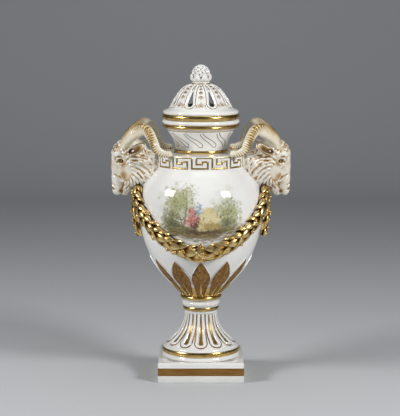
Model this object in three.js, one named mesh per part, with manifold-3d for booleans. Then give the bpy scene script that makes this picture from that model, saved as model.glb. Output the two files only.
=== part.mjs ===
// A covered porcelain potpourri vase, also called a perfume burner: an ovoid bowl on a fluted foot and a square
// plinth, with ram's-head handles, laurel swags and a pierced cover that lifts off.
// Millimetres, +Z up. The origin is the centre of the plinth's underside, and the painted front faces -Y.
// Every piece that was moulded by itself is a solid of its own, seated on what carries it.
import * as THREE from "three";
import { mergeVertices } from "three/addons/utils/BufferGeometryUtils.js";
import Module from "manifold-3d";

const wasm = await Module();
wasm.setup();

// General
const fit = 0.3; // gap between a piece and the curved seat it was luted to
const facets = 28; // facets round a turned piece

// Plinth
const plinthSide = 90;
const plinthHeight = 21;
const plinthWall = 6;
const plinthTop = 6;

// Foot: a ring moulding, a fluted trumpet and a gilt bead at the top
const footHeight = 54;
const footRadius = 41;
const footRingLow = 4.2; // above the plinth
const footRingHigh = 10;
const footLipHigh = 11.6;
const footStemRadius = 16.2;
const footStemTop = 46.5; // where the flutes end, above the plinth
const footBeadLow = 49;
const footWall = 4.5;
const footWebHeight = 13; // solid web at the top, which the bolt passes through
const fluteCount = 12;
const fluteDepth = 1.3;

// Collar and calyx ring, between foot and bowl
const collarHeight = 7.5;
const collarRadius = 18.4;
const collarBulge = 1.7;
const ringHeight = 6.5;
const ringRadius = 20.4;
const ringBulge = 1.5;

// Bowl: it swells to the waist, the shoulder curves in to an upright band for the frieze, and a flat top ends it
const bowlBaseRadius = 20.5;
const bowlRadius = 66;
const bowlLowerHeight = 96; // base to waist
const shoulderHeight = 56; // waist to where the shoulder's ellipse would close
const friezeLowRadius = 48.6;
const friezeRadius = 47.4;
const friezeHeight = 14.9;
const friezeEdge = 1.2; // rounding of its upper edge
const shoulderFall = 0.5; // of the flat top, from the neck to the frieze
const bowlWall = 4;
const bowlFloor = 8;

// Neck and rim
const neckRadius = 27;
const neckBeadHeight = 3.4;
const neckBeadBulge = 1.3;
const neckHeight = 22.5; // above the bead
const neckTopRadius = 37;
const neckWall = 3.6;
const rimRadius = 38.4;
const rimBulge = 2;
const rimBeadHeight = 4;
const rimHeight = 8.5;
const mouthRadius = 33.8;

// Cover: a gilt bead, a lip that turns up to the pierced dome, and a collar under the finial
const coverRadius = 38.8;
const coverBulge = 2;
const coverBeadHeight = 6.2;
const lipRadius = 39.6;
const lipHeight = 11.7;
const domeRadius = 33.4;
const domeHeight = 24.3;
const domeTopRadius = 8.4;
const domeWall = 3;
const domeCollarHeight = 2.5;
const domeCollarBulge = 0.8;
const spigotDepth = 9;
const spigotWall = 3;
const spigotClearance = 0.8; // all round, in the mouth
const slotCount = 8;
const slotWidth = 6.2;
const slotLow = 2.8; // above the dome's base
const slotHigh = 18.6;
const slotBorder = 1.5;
const slotRelief = 0.9;

// Finial: a ball of buds in a cup of leaves
const finialStemRadius = 5.6;
const finialLeafRadius = 11.5;
const finialLeafHeight = 5.4;
const finialLeafCount = 8;
const finialBallRadius = 8.4;
const finialBallHeight = 8.6; // centre above the cup's foot
const budCount = 24;
const budRadius = 2.3;

// Bolt that holds bowl, collar and foot together
const boltRadius = 3;
const boltClearance = 1.5;
const boltHexWidth = 10; // across flats
const boltHeadHeight = 4;
const nutHeight = 5;
const washerRadius = 9;
const washerThickness = 1.5;
const corkRadius = 10.5;
const corkThickness = 2;
const boltSpare = 5; // thread that stands out past the nut

// Calyx of leaves round the foot of the bowl
const calyxCount = 12;
const calyxClear = 1.4; // leaf tips to the swag above them
const calyxThickness = 1.2;
const calyxGap = 0.9; // degrees between neighbours, on each side

// Ram's heads. They reach outward from the bowl, noses down
const ramReach = 28.6; // nose line beyond the bowl's widest
const ramPoll = 31.5; // above the frieze's foot
const ramMuzzle = 31.5; // below the frieze's foot
const ramHalfWidth = 18.5;
const ramNeckHalfWidth = 20;
const hornBaseRadius = 7;
const hornTipRadius = 3;
const hornSpread = 41; // how far the horns stand out sideways
const hornRise = 42.6; // centre line's top, above the frieze's foot
const hornRibs = 16;
const earLength = 21;
const earWidth = 9.5;
const earThickness = 2.2;

// Laurel swags, front and back, and the tails that hang below the heads
const swagRadius = 8.9;
const swagDepth = 0.78; // share of the radius, outward
const swagStandOff = 3; // centre line to the bowl's face
const swagDrop = 44.7; // lowest point of the centre line, under the bowl's widest place
const swagRise = 61;
const swagEnd = 81; // degrees from the middle to each end
const swagRows = 17;
const tailRadius = 7;
const tailStandOff = 3;
const tailRise = 15; // top of the tails over the bowl's widest place
const tailDrop = 34; // their ends, under it
const tailRows = 6;
const leavesRound = 5; // lobes in a row of leaves

// Heights, from the stack of pieces
const footBase = plinthHeight;
const footTop = footBase + footHeight;
const collarTop = footTop + collarHeight;
const bowlBase = collarTop + ringHeight;
const waist = bowlBase + bowlLowerHeight;
const calyxHeight = bowlLowerHeight - swagDrop - swagRadius - calyxClear;
const onShoulder = (r) => waist + shoulderHeight * Math.sqrt(1 - (r / bowlRadius) ** 2);
const friezeLow = onShoulder(friezeLowRadius);
const friezeTop = friezeLow + friezeHeight;
const neckFoot = friezeTop + shoulderFall;
const neckBase = neckFoot + neckBeadHeight;
const neckTop = neckBase + neckHeight;
const rimTop = neckTop + rimHeight;
const coverBase = rimTop + fit;
const domeBase = coverBase + lipHeight;
const domeTop = domeBase + domeHeight;
const finialBase = domeTop + domeCollarHeight;
const boltHole = boltRadius + boltClearance;
const floorTop = bowlBase + bowlFloor;

// Glaze and gilding
const porcelain = () => new THREE.MeshStandardMaterial({ color: 0xf1efe8, roughness: 0.12, metalness: 0 });
const tinted = () => new THREE.MeshStandardMaterial({ color: 0xd9d0bd, roughness: 0.22, metalness: 0 });
const gilding = () => new THREE.MeshStandardMaterial({ color: 0xb8893a, roughness: 0.28, metalness: 1 });
const steel = () => new THREE.MeshStandardMaterial({ color: 0x8d8f92, roughness: 0.4, metalness: 1 });
const brass = () => new THREE.MeshStandardMaterial({ color: 0xb5944f, roughness: 0.4, metalness: 1 });
const cork = () => new THREE.MeshStandardMaterial({ color: 0xa67c52, roughness: 0.9, metalness: 0 });

const radians = THREE.MathUtils.degToRad;

// A closed geometry as a solid that can be cut and joined
function solid(geometry) {
  const bare = new THREE.BufferGeometry();
  bare.setAttribute("position", geometry.getAttribute("position"));
  bare.setIndex(geometry.index);
  const merged = mergeVertices(bare, 1e-4);
  const triVerts = new Uint32Array(merged.index.array);
  return new wasm.Manifold(
    new wasm.Mesh({ numProp: 3, vertProperties: merged.attributes.position.array, triVerts }),
  );
}

// The solid as a geometry again
function geometryOf(cut) {
  const mesh = cut.getMesh();
  const geometry = new THREE.BufferGeometry();
  geometry.setAttribute("position", new THREE.BufferAttribute(new Float32Array(mesh.vertProperties), 3));
  geometry.setIndex(new THREE.BufferAttribute(new Uint32Array(mesh.triVerts), 1));
  geometry.computeVertexNormals();
  return geometry;
}

// A piece turned about Z from [radius, height] points, which run anticlockwise and close on themselves
function turned(profile, segments = facets) {
  const points = profile.map(([r, z]) => new THREE.Vector2(r, z));
  return new THREE.LatheGeometry([...points, points[0]], segments).rotateX(Math.PI / 2);
}

// Points of a half-round bead on a turned profile, from low to high
function bead(radius, low, high, bulge, steps = 3) {
  return Array.from({ length: steps + 1 }, (_, i) => {
    const a = (Math.PI * i) / steps;
    return [radius + bulge * Math.sin(a), low + ((high - low) * (1 - Math.cos(a))) / 2];
  });
}

// [radius, height] points along a curve of the profile
const along = (curve, steps) => curve.getPoints(steps).map((p) => [p.x, p.y]);
const point = (r, z) => new THREE.Vector2(r, z);

// A skin of rings, each a closed loop of points, capped at both ends
function lofted(rings) {
  const count = rings[0].length;
  const centre = (ring) =>
    ring.reduce((sum, p) => sum.add(p), new THREE.Vector3()).divideScalar(count);
  const points = [...rings.flat(), centre(rings[0]), centre(rings.at(-1))];
  const [first, last] = [points.length - 2, points.length - 1];
  const index = [];
  for (let i = 0; i < rings.length - 1; i++)
    for (let j = 0; j < count; j++) {
      const [a, b] = [i * count + j, i * count + ((j + 1) % count)];
      index.push(a, b, b + count, a, b + count, a + count);
    }
  for (let j = 0; j < count; j++) {
    const [k, top] = [(j + 1) % count, (rings.length - 1) * count];
    index.push(first, k, j, last, top + j, top + k);
  }
  const geometry = new THREE.BufferGeometry().setFromPoints(points);
  geometry.setIndex(index);
  geometry.computeVertexNormals();
  return geometry;
}

// An upright elliptic ring in the plane of the unit vectors a and b
function ellipse(centre, a, b, halfA, halfB, count) {
  return Array.from({ length: count }, (_, i) => {
    const t = (2 * Math.PI * i) / count;
    return centre
      .clone()
      .addScaledVector(a, halfA * Math.cos(t))
      .addScaledVector(b, halfB * Math.sin(t));
  });
}

// A plate between two faces that are functions of u and v, both from 0 to 1
function plate(across, up, face) {
  const points = [];
  for (const side of [0, 1])
    for (let i = 0; i <= up; i++)
      for (let j = 0; j <= across; j++) points.push(face(j / across, i / up, side));
  const at = (side, i, j) => side * (up + 1) * (across + 1) + i * (across + 1) + j;
  const index = [];
  const quad = (a, b, c, d) => index.push(a, b, c, a, c, d);
  for (let i = 0; i < up; i++)
    for (let j = 0; j < across; j++) {
      quad(at(1, i, j), at(1, i, j + 1), at(1, i + 1, j + 1), at(1, i + 1, j));
      quad(at(0, i, j), at(0, i + 1, j), at(0, i + 1, j + 1), at(0, i, j + 1));
    }
  for (let i = 0; i < up; i++) {
    quad(at(0, i, 0), at(1, i, 0), at(1, i + 1, 0), at(0, i + 1, 0));
    quad(at(0, i, across), at(0, i + 1, across), at(1, i + 1, across), at(1, i, across));
  }
  for (let j = 0; j < across; j++) {
    quad(at(0, 0, j), at(0, 0, j + 1), at(1, 0, j + 1), at(1, 0, j));
    quad(at(0, up, j), at(1, up, j), at(1, up, j + 1), at(0, up, j + 1));
  }
  const geometry = new THREE.BufferGeometry().setFromPoints(points);
  geometry.setIndex(index);
  geometry.computeVertexNormals();
  return geometry;
}

// A cylinder that stands on the height low
function rod(radius, low, high, segments = 14) {
  return new THREE.CylinderGeometry(radius, radius, high - low, segments)
    .rotateX(Math.PI / 2)
    .translate(0, 0, (low + high) / 2);
}

// Outer line of the bowl from its base over the shoulder to the neck
const bowlSpan = bowlRadius - bowlBaseRadius;
const lowerBowl = new THREE.CubicBezierCurve(
  point(bowlBaseRadius, bowlBase),
  point(bowlBaseRadius + 0.47 * bowlSpan, bowlBase + 0.21 * bowlLowerHeight),
  point(bowlRadius, waist - 0.55 * bowlLowerHeight),
  point(bowlRadius, waist),
);
const shoulderEnd = Math.acos(friezeLowRadius / bowlRadius);
const upperBowl = new THREE.EllipseCurve(0, waist, bowlRadius, shoulderHeight, 0, shoulderEnd);
const [lowerLine, curvedLine] = [along(lowerBowl, 8), along(upperBowl, 6)];
const friezeLine = [
  [friezeRadius, friezeLow + 1.6],
  [friezeRadius, friezeTop - friezeEdge],
  [friezeRadius - 0.3 * friezeEdge, friezeTop - 0.3 * friezeEdge],
  [friezeRadius - friezeEdge, friezeTop],
  [neckRadius + neckBeadBulge, neckFoot],
];
const upperLine = [...curvedLine, ...friezeLine];
const bowlLine = [...lowerLine, ...upperLine.slice(1)];

// Radius of the bowl's outer face at a height, and which way that face leans there
function bowlFace(z) {
  const last = bowlLine.length - 1;
  let i = bowlLine.findIndex(([, height]) => height >= z);
  i = Math.min(Math.max(i < 0 ? last : i, 1), last);
  const [[r0, z0], [r1, z1]] = [bowlLine[i - 1], bowlLine[i]];
  const radius = r0 + ((r1 - r0) * (z - z0)) / (z1 - z0);
  const normal = new THREE.Vector2(z1 - z0, r0 - r1).normalize();
  return { radius, normal };
}

// A point at a height and an angle round the bowl, out from its face by a distance
function onBowl(angle, z, out) {
  const { radius, normal } = bowlFace(z);
  const r = radius + out * normal.x;
  return new THREE.Vector3(r * Math.cos(angle), r * Math.sin(angle), z + out * normal.y);
}

const vase = new THREE.Group();

function add(name, shape, material, parent = vase) {
  const mesh = new THREE.Mesh(shape.getMesh ? geometryOf(shape) : shape, material);
  mesh.name = name;
  parent.add(mesh);
  return mesh;
}

// Plinth: a square box, open underneath, with a hole under the foot's hollow
const footHollowRadius = footRadius - footWall;
{
  const block = (side, low, high) =>
    solid(new THREE.BoxGeometry(side, side, high - low).translate(0, 0, (low + high) / 2));
  const recess = block(plinthSide - 2 * plinthWall, -1, plinthHeight - plinthTop);
  const hole = solid(rod(footHollowRadius - footWall, 0, plinthHeight + 1, facets));
  add("plinth", block(plinthSide, 0, plinthHeight).subtract(recess).subtract(hole), porcelain());
}

// Foot: hollow trumpet, with a web at the top and flutes cut into its outside
{
  const at = (z) => footBase + z;
  const trumpetLow = footRadius - 3.2;
  const trumpet = (inset) =>
    new THREE.CubicBezierCurve(
      point(trumpetLow - inset, at(footLipHigh)),
      point(trumpetLow - 0.2634 * footRadius - inset, at(footLipHigh) + 0.1463 * footHeight),
      point(footStemRadius - inset, at(footLipHigh) + 0.3222 * footHeight),
      point(footStemRadius - inset, at(footStemTop)),
    );
  const webLow = footTop - footWebHeight;
  const outside = [
    [footRadius, footBase],
    [footRadius - 1.6, at(footRingLow)],
    ...bead(footRadius - 1.6, at(footRingLow), at(footRingHigh), 2.1).slice(1),
    [footRadius - 2, at(footLipHigh)],
    ...along(trumpet(0), 6),
    [footStemRadius + 1.2, at(footStemTop)],
    [footStemRadius + 1.2, at(footBeadLow)],
    ...bead(footStemRadius + 1.4, at(footBeadLow), footTop, 1.5),
  ];
  const hollow = along(trumpet(footWall), 4).filter(([, z]) => z < webLow - 1);
  const inside = [
    [boltHole, footTop],
    [boltHole, webLow],
    [footStemRadius - footWall, webLow],
    ...hollow.reverse(),
    [footHollowRadius - footWall, at(footRingLow)],
    [footHollowRadius, footBase],
  ];
  const foot = turned([...outside, ...inside], 3 * fluteCount);
  const positions = foot.getAttribute("position");
  const line = along(trumpet(0), 40);
  for (let i = 0; i < positions.count; i++) {
    const [x, y, z] = [positions.getX(i), positions.getY(i), positions.getZ(i)];
    const r = Math.hypot(x, y);
    const outer = line.findLast(([, height]) => height <= z);
    if (!outer || z <= at(footLipHigh) || z >= at(footStemTop) || r < outer[0] - footWall / 2) continue;
    const groove = fluteDepth * Math.cos((fluteCount * Math.atan2(y, x)) / 2) ** 2;
    positions.setXY(i, (x * (r - groove)) / r, (y * (r - groove)) / r);
  }
  add("foot", foot, porcelain());
}

// Collar and calyx ring
add(
  "stem_collar",
  turned([...bead(collarRadius, footTop, collarTop, collarBulge), [boltHole, collarTop], [boltHole, footTop]]),
  porcelain(),
);
add(
  "calyx_ring",
  turned([...bead(ringRadius, collarTop, bowlBase, ringBulge), [boltHole, bowlBase], [boltHole, collarTop]]),
  gilding(),
);

// The bowl was made in sections and luted: the bowl up to its waist, the shoulder, and the neck with its rim
const neckLine = (inset) =>
  new THREE.CubicBezierCurve(
    point(neckRadius - inset, neckBase),
    point(neckRadius - inset + 0.6, neckBase + 0.42 * neckHeight),
    point(neckTopRadius - inset - 3.6, neckTop - 0.3 * neckHeight),
    point(neckTopRadius - inset, neckTop),
  );
const neckOutside = [
  ...bead(neckRadius, neckFoot, neckBase, neckBeadBulge, 3).slice(1),
  ...along(neckLine(0), 4).slice(1),
  ...bead(rimRadius, neckTop, neckTop + rimBeadHeight, rimBulge),
  ...bead(rimRadius, neckTop + rimBeadHeight, rimTop, rimBulge + 0.3, 3).slice(1),
];
const waistSeam = [bowlRadius - bowlWall, waist];
const throat = [neckRadius - neckWall, neckFoot];
{
  const inner = [...lowerLine, ...curvedLine.slice(1)]
    .filter((_, i) => i % 2)
    .map(([, z]) => ({ z, ...bowlFace(z) }))
    .map(({ z, radius, normal }) => [radius - bowlWall * normal.x, z - bowlWall * normal.y])
    .reverse();
  const ceiling = friezeTop - bowlWall;
  const above = [
    [throat[0], ceiling],
    [friezeRadius - bowlWall - 1.5, ceiling],
    [friezeRadius - bowlWall, ceiling - 1.5],
    [friezeRadius - bowlWall, friezeLow + 0.5],
    ...inner.filter(([, z]) => z > waist && z < friezeLow),
  ];
  const below = inner.filter(([, z]) => z < waist && z > floorTop + 2);
  const [lowest, height] = below.at(-1);
  const floor = [[lowest - (height - floorTop), floorTop], [boltHole, floorTop], [boltHole, bowlBase]];
  add("bowl", turned([...lowerLine, waistSeam, ...below, ...floor]), porcelain());
  add("shoulder", turned([...upperLine, throat, ...above, waistSeam]), porcelain());
}
{
  const mouth = along(neckLine(neckWall), 3).filter(([r]) => r < mouthRadius - 0.5);
  const inside = [[mouthRadius, rimTop], [mouthRadius, rimTop - spigotDepth - 1.5], ...mouth.reverse(), throat];
  add("neck", turned([bowlLine.at(-1), ...neckOutside, ...inside]), porcelain());
}

// The outer shape of the bowl and neck, solid and swollen by the fit, which cuts what is luted to it
const bowlCutter = solid(
  turned([
    ...[...bowlLine, ...neckOutside].map(([r, z]) => [r + fit, z < waist ? z : z + fit]),
    [0, rimTop + fit],
    [0, bowlBase],
  ]),
);

// Calyx: pointed leaves in relief, from the ring up the bowl
{
  const half = radians(180 / calyxCount - calyxGap);
  const leaf = plate(4, 5, (u, v, side) => {
    const w = u * 2 - 1;
    const relief = calyxThickness * (1 - 0.3 * Math.abs(w)) * (1 - 0.35 * v);
    const width = Math.max(1 - v ** 2.6, 0.04);
    return onBowl(half * w * width, bowlBase + 0.8 + v * calyxHeight, fit + side * relief);
  });
  for (let i = 0; i < calyxCount; i++) {
    const mesh = add(`calyx_leaf_${String(i + 1).padStart(2, "0")}`, leaf, gilding());
    mesh.rotation.z = -Math.PI / 2 + (2 * Math.PI * i) / calyxCount;
  }
}

// Bolt, washers and nut. Corks lie against the porcelain
{
  const washer = (radius, low, high) =>
    turned([[radius, low], [radius, high], [boltRadius + fit, high], [boltRadius + fit, low]], 18);
  const headLow = floorTop + corkThickness + washerThickness;
  const webLow = footTop - footWebHeight;
  const nutTop = webLow - corkThickness - washerThickness;
  const hexRadius = boltHexWidth / Math.sqrt(3);
  add("bowl_cork", washer(corkRadius, floorTop, floorTop + corkThickness), cork());
  add("bowl_washer", washer(washerRadius, floorTop + corkThickness, headLow), brass());
  add("foot_cork", washer(corkRadius, webLow - corkThickness, webLow), cork());
  add("foot_washer", washer(washerRadius, nutTop, webLow - corkThickness), brass());
  const shank = solid(rod(boltRadius, nutTop - nutHeight - boltSpare, headLow + 1));
  const head = solid(rod(hexRadius, headLow, headLow + boltHeadHeight, 6));
  add("tie_bolt", shank.add(head), steel());
  const thread = solid(rod(boltRadius + fit, nutTop - nutHeight - 1, nutTop + 1));
  add("tie_nut", solid(rod(hexRadius, nutTop - nutHeight, nutTop, 6)).subtract(thread), brass());
}

// Ram's heads: skull and muzzle, neck and beard. x runs outward from the axis, and heights count from the frieze
const ram = { x: bowlRadius, z: friezeLow };
const alongX = new THREE.Vector3(1, 0, 0);
const alongY = new THREE.Vector3(0, 1, 0);
const alongZ = new THREE.Vector3(0, 0, 1);
const outward = (x, y, z) => new THREE.Vector3(ram.x + x, y, ram.z + z);

// The head, swollen all over by a distance
function ramHead(swell) {
  // Height, face line, depth and half width, all as shares, from muzzle to poll
  const skull = [
    [0, 0.84, 0.1748, 0.2],
    [0.03, 0.92, 0.3497, 0.36],
    [0.11, 0.98, 0.5594, 0.5],
    [0.23, 1, 0.8392, 0.64],
    [0.4, 1, 1.1538, 0.84],
    [0.56, 1, 1.2587, 1],
    [0.72, 0.96, 1.1888, 0.97],
    [0.86, 0.8, 0.9441, 0.78],
    [0.97, 0.56, 0.5245, 0.45],
    [1, 0.5, 0.2448, 0.2],
  ].map(([height, face, deep, width]) => {
    const depth = deep * ramReach;
    const end = height === 0 ? -swell : height === 1 ? swell : 0;
    const z = height * (ramPoll + ramMuzzle) - ramMuzzle + end;
    const centre = outward(ramReach * face - depth / 2, 0, z);
    return ellipse(centre, alongX, alongY, depth / 2 + swell, ramHalfWidth * width + swell, 12);
  });
  // Neck, from inside the skull back into the bowl
  const neck = [
    [0.4196, 0.4762, 0.6, 0.1905],
    [0.0699, 0.6667, 0.9, 0.0317],
    [-0.3497, 0.7619, 1, -0.0952],
    [-0.9091, 0.6032, 0.95, -0.254],
  ].map(([x, halfHeight, width, lift]) => {
    const centre = outward(x * ramReach, 0, lift * ramPoll);
    return ellipse(centre, alongY, alongZ, ramNeckHalfWidth * width + swell, halfHeight * ramPoll + swell, 12);
  });
  // Beard, parted from the muzzle by the open mouth
  const beard = [
    [0.4545, -1.0159, 0.1049, 0.2162],
    [0.4371, -0.8889, 0.1469, 0.3243],
    [0.3147, -0.6349, 0.2273, 0.4865],
    [0.1399, -0.254, 0.3147, 0.6486],
  ].map(([x, z, halfDepth, halfWidth]) =>
    ellipse(
      outward(x * ramReach, 0, z * ramMuzzle),
      alongX,
      alongY,
      halfDepth * ramReach + swell,
      halfWidth * ramHalfWidth + swell,
      8,
    ),
  );
  return [skull, neck.reverse(), beard].map((rings) => solid(lofted(rings))).reduce((a, b) => a.add(b));
}

// A horn: from the poll up, over and down to the shoulder, where its tip lies against the neck
const overNeck = bowlRadius - neckRadius;
const hornLine = (side) =>
  new THREE.CatmullRomCurve3([
    outward(0.451 * ramReach, side * 0.1951 * hornSpread, 0.5311 * hornRise),
    outward(0.2879 * ramReach, side * 0.4024 * hornSpread, 0.7119 * hornRise),
    outward(-0.04109 * overNeck, side * 0.6829 * hornSpread, 0.9087 * hornRise),
    outward(-0.2288 * overNeck, side * 0.8902 * hornSpread, hornRise),
    outward(-0.347 * overNeck, side * 0.9805 * hornSpread, 0.8751 * hornRise),
    outward(-0.4257 * overNeck, side * hornSpread, 0.7198 * hornRise),
    outward(-0.5559 * overNeck, side * 0.9878 * hornSpread, 0.5008 * hornRise),
    outward(-0.7598 * overNeck, side * 0.9463 * hornSpread, 0.3996 * hornRise),
    new THREE.Vector3(0.6382 * friezeRadius, side * 0.7637 * friezeRadius, ram.z + 0.3688 * hornRise),
  ]);

function horn(side) {
  const curve = hornLine(side);
  const steps = 2 * hornRibs;
  const rings = Array.from({ length: steps + 1 }, (_, i) => {
    const t = i / steps;
    const forward = curve.getTangentAt(t);
    const across = alongY.clone().addScaledVector(forward, -forward.y).normalize();
    const up = new THREE.Vector3().crossVectors(forward, across);
    const half = hornTipRadius + (hornBaseRadius - hornTipRadius) * (1 - t) ** 0.7;
    const rib = i % 2 ? 1 : 0.9;
    return ellipse(curve.getPointAt(t), across, up, half * rib * 0.86, half * rib, 6);
  });
  return solid(lofted(rings));
}

// An ear: a hollowed leaf that stands out from the side of the head, below the horn
function ear(side) {
  const root = outward(0.3147 * ramReach, side * 0.7568 * ramHalfWidth, 0.4444 * ramPoll);
  const tip = outward(-0.2797 * ramReach, side * 1.4595 * ramHalfWidth, 0.7937 * ramPoll);
  const lie = tip.clone().sub(root).normalize();
  const across = new THREE.Vector3().crossVectors(lie, new THREE.Vector3(1, side * 1.6, 0.4)).normalize();
  const face = new THREE.Vector3().crossVectors(across, lie).normalize();
  const ear = plate(2, 5, (u, v, level) => {
    const w = side * (u * 2 - 1);
    const half = (earWidth / 2) * Math.sin(Math.PI * (0.12 + 0.85 * v)) ** 0.8;
    const dish = earThickness * (0.9 * w * w + (level ? 0.5 : -0.5));
    return root.clone().addScaledVector(lie, v * earLength).addScaledVector(across, half * w)
      .addScaledVector(face, side * dish);
  });
  return solid(ear);
}

const placeOf = { right: ["front", "back"], left: ["back", "front"] };
const headCutters = [];
for (const [hand, turn] of [["right", 0], ["left", 180]]) {
  const stand = (shape) => shape.rotate([0, 0, turn]).subtract(bowlCutter);
  const head = (swell) => [-1, 1].reduce((whole, side) => whole.add(ear(side)), ramHead(swell));
  add(`ram_head_${hand}`, stand(head(0)), tinted());
  [-1, 1].forEach((side, i) => {
    add(`horn_${hand}_${placeOf[hand][i]}`, stand(horn(side).subtract(ramHead(fit))), tinted());
  });
  headCutters.push(ramHead(fit).rotate([0, 0, turn]));
}

// A rope of laurel: rows of leaves that overlap like scales along a centre line
function rope(curve, radius, rows, taper) {
  const rings = [];
  const ringAt = (t, share, twist) => {
    const forward = curve.getTangentAt(t);
    const centre = curve.getPointAt(t);
    const away = new THREE.Vector3(centre.x, centre.y, 0).normalize();
    away.addScaledVector(forward, -away.dot(forward)).normalize();
    const across = new THREE.Vector3().crossVectors(forward, away);
    const count = 2 * leavesRound;
    rings.push(
      Array.from({ length: count }, (_, i) => {
        const a = (2 * Math.PI * i) / count + twist;
        const r = radius * share * taper(t) * (i % 2 ? 1 : 0.84);
        const deep = swagDepth * r * Math.cos(a);
        return centre.clone().addScaledVector(away, deep).addScaledVector(across, r * Math.sin(a));
      }),
    );
  };
  for (let i = 0; i < rows; i++) {
    ringAt((i + 0.02) / rows, 0.74, 0);
    ringAt((i + 0.72) / rows, 1, 0);
  }
  ringAt(1, 0.6, 0);
  return solid(lofted(rings));
}

// Tails below the heads, then the swags between them
const tailCutters = [];
for (const [hand, angle] of [["right", 0], ["left", Math.PI]]) {
  const heights = Array.from({ length: 6 }, (_, i) => waist + tailRise - ((tailRise + tailDrop) * i) / 5);
  const curve = new THREE.CatmullRomCurve3(heights.map((z) => onBowl(angle, z, tailStandOff)));
  const shape = (radius) => rope(curve, radius, tailRows, (t) => 1 - 0.3 * Math.max(0, t - 0.6));
  const tail = headCutters.reduce((rest, cutter) => rest.subtract(cutter), shape(tailRadius));
  add(`laurel_tail_${hand}`, tail.subtract(bowlCutter), gilding());
  tailCutters.push(shape(tailRadius + fit));
}
for (const [place, middle] of [["front", -Math.PI / 2], ["back", Math.PI / 2]]) {
  const line = Array.from({ length: 25 }, (_, i) => {
    const share = (i - 12) / 12;
    const z = waist - swagDrop + swagRise * Math.abs(share) ** 1.7;
    return onBowl(middle + radians(swagEnd) * share, z, swagStandOff);
  });
  const curve = new THREE.CatmullRomCurve3(line);
  const whole = rope(curve, swagRadius, swagRows, (t) => 1 - 0.12 * Math.abs(2 * t - 1));
  const cutters = [bowlCutter, ...headCutters, ...tailCutters];
  add(`laurel_swag_${place}`, cutters.reduce((rest, cutter) => rest.subtract(cutter), whole), gilding());
}

// Cover, with its spigot below and the pierced dome above
const cover = new THREE.Group();
vase.add(cover);
const domeLine = (grow) =>
  new THREE.CubicBezierCurve(
    point(domeRadius + grow, domeBase),
    point(domeRadius - 5.5 + grow, domeBase + 0.32 * domeHeight),
    point(domeTopRadius + 16 + grow, domeTop - 0.1 * domeHeight + grow),
    point(domeTopRadius, domeTop + grow),
  );
const domeOutside = along(domeLine(0), 6);
{
  const lipTop = coverBase + coverBeadHeight;
  const spigotRadius = mouthRadius - spigotClearance;
  const outside = [
    [spigotRadius - 0.8, rimTop - spigotDepth],
    [spigotRadius, rimTop - spigotDepth + 1.5],
    [spigotRadius, coverBase],
    ...bead(coverRadius, coverBase, lipTop, coverBulge),
    [lipRadius, lipTop + 0.4],
    [lipRadius, lipTop + 2],
    [lipRadius - 2.6, lipTop + 4],
    ...domeOutside,
    ...bead(domeTopRadius - 0.6, domeTop, finialBase, domeCollarBulge, 3).slice(1),
  ];
  const inside = along(domeLine(-domeWall), 4).filter(([r, z]) => r > 6 && z < domeTop - domeWall - 0.5);
  const innerSpigot = spigotRadius - spigotWall;
  const shell = turned([
    ...outside,
    [0, finialBase],
    [0, domeTop - domeWall - 0.2],
    ...inside.reverse(),
    [innerSpigot, coverBase + 2],
    [innerSpigot, rimTop - spigotDepth],
  ]);
  // A slot as a drop shape, wide below, that runs outward from the axis
  const drop = (border) => {
    const [low, high] = [slotLow - border, slotHigh + border];
    const half = slotWidth / 2 + border;
    const outline = new THREE.Shape()
      .moveTo(0, low)
      .bezierCurveTo(half * 1.4, low, half * 1.2, low + (high - low) * 0.55, 0, high)
      .bezierCurveTo(-half * 1.2, low + (high - low) * 0.55, -half * 1.4, low, 0, low);
    return new THREE.ExtrudeGeometry(outline, { depth: domeRadius + 6, bevelEnabled: false, curveSegments: 3 })
      .rotateX(Math.PI / 2)
      .rotateZ(Math.PI);
  };
  const borderShell = solid(
    turned([...along(domeLine(slotRelief), 4), ...along(domeLine(-domeWall / 2), 4).reverse()]),
  );
  const prisms = (border) =>
    Array.from({ length: slotCount }, (_, i) => {
      const angle = (2 * Math.PI * (i + 0.5)) / slotCount;
      return solid(drop(border).clone().translate(0, 0, domeBase).rotateZ(angle));
    }).reduce((a, b) => a.add(b));
  const pierced = solid(shell).add(borderShell.intersect(prisms(slotBorder))).subtract(prisms(0));
  add("cover", pierced, porcelain(), cover);
}

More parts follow.
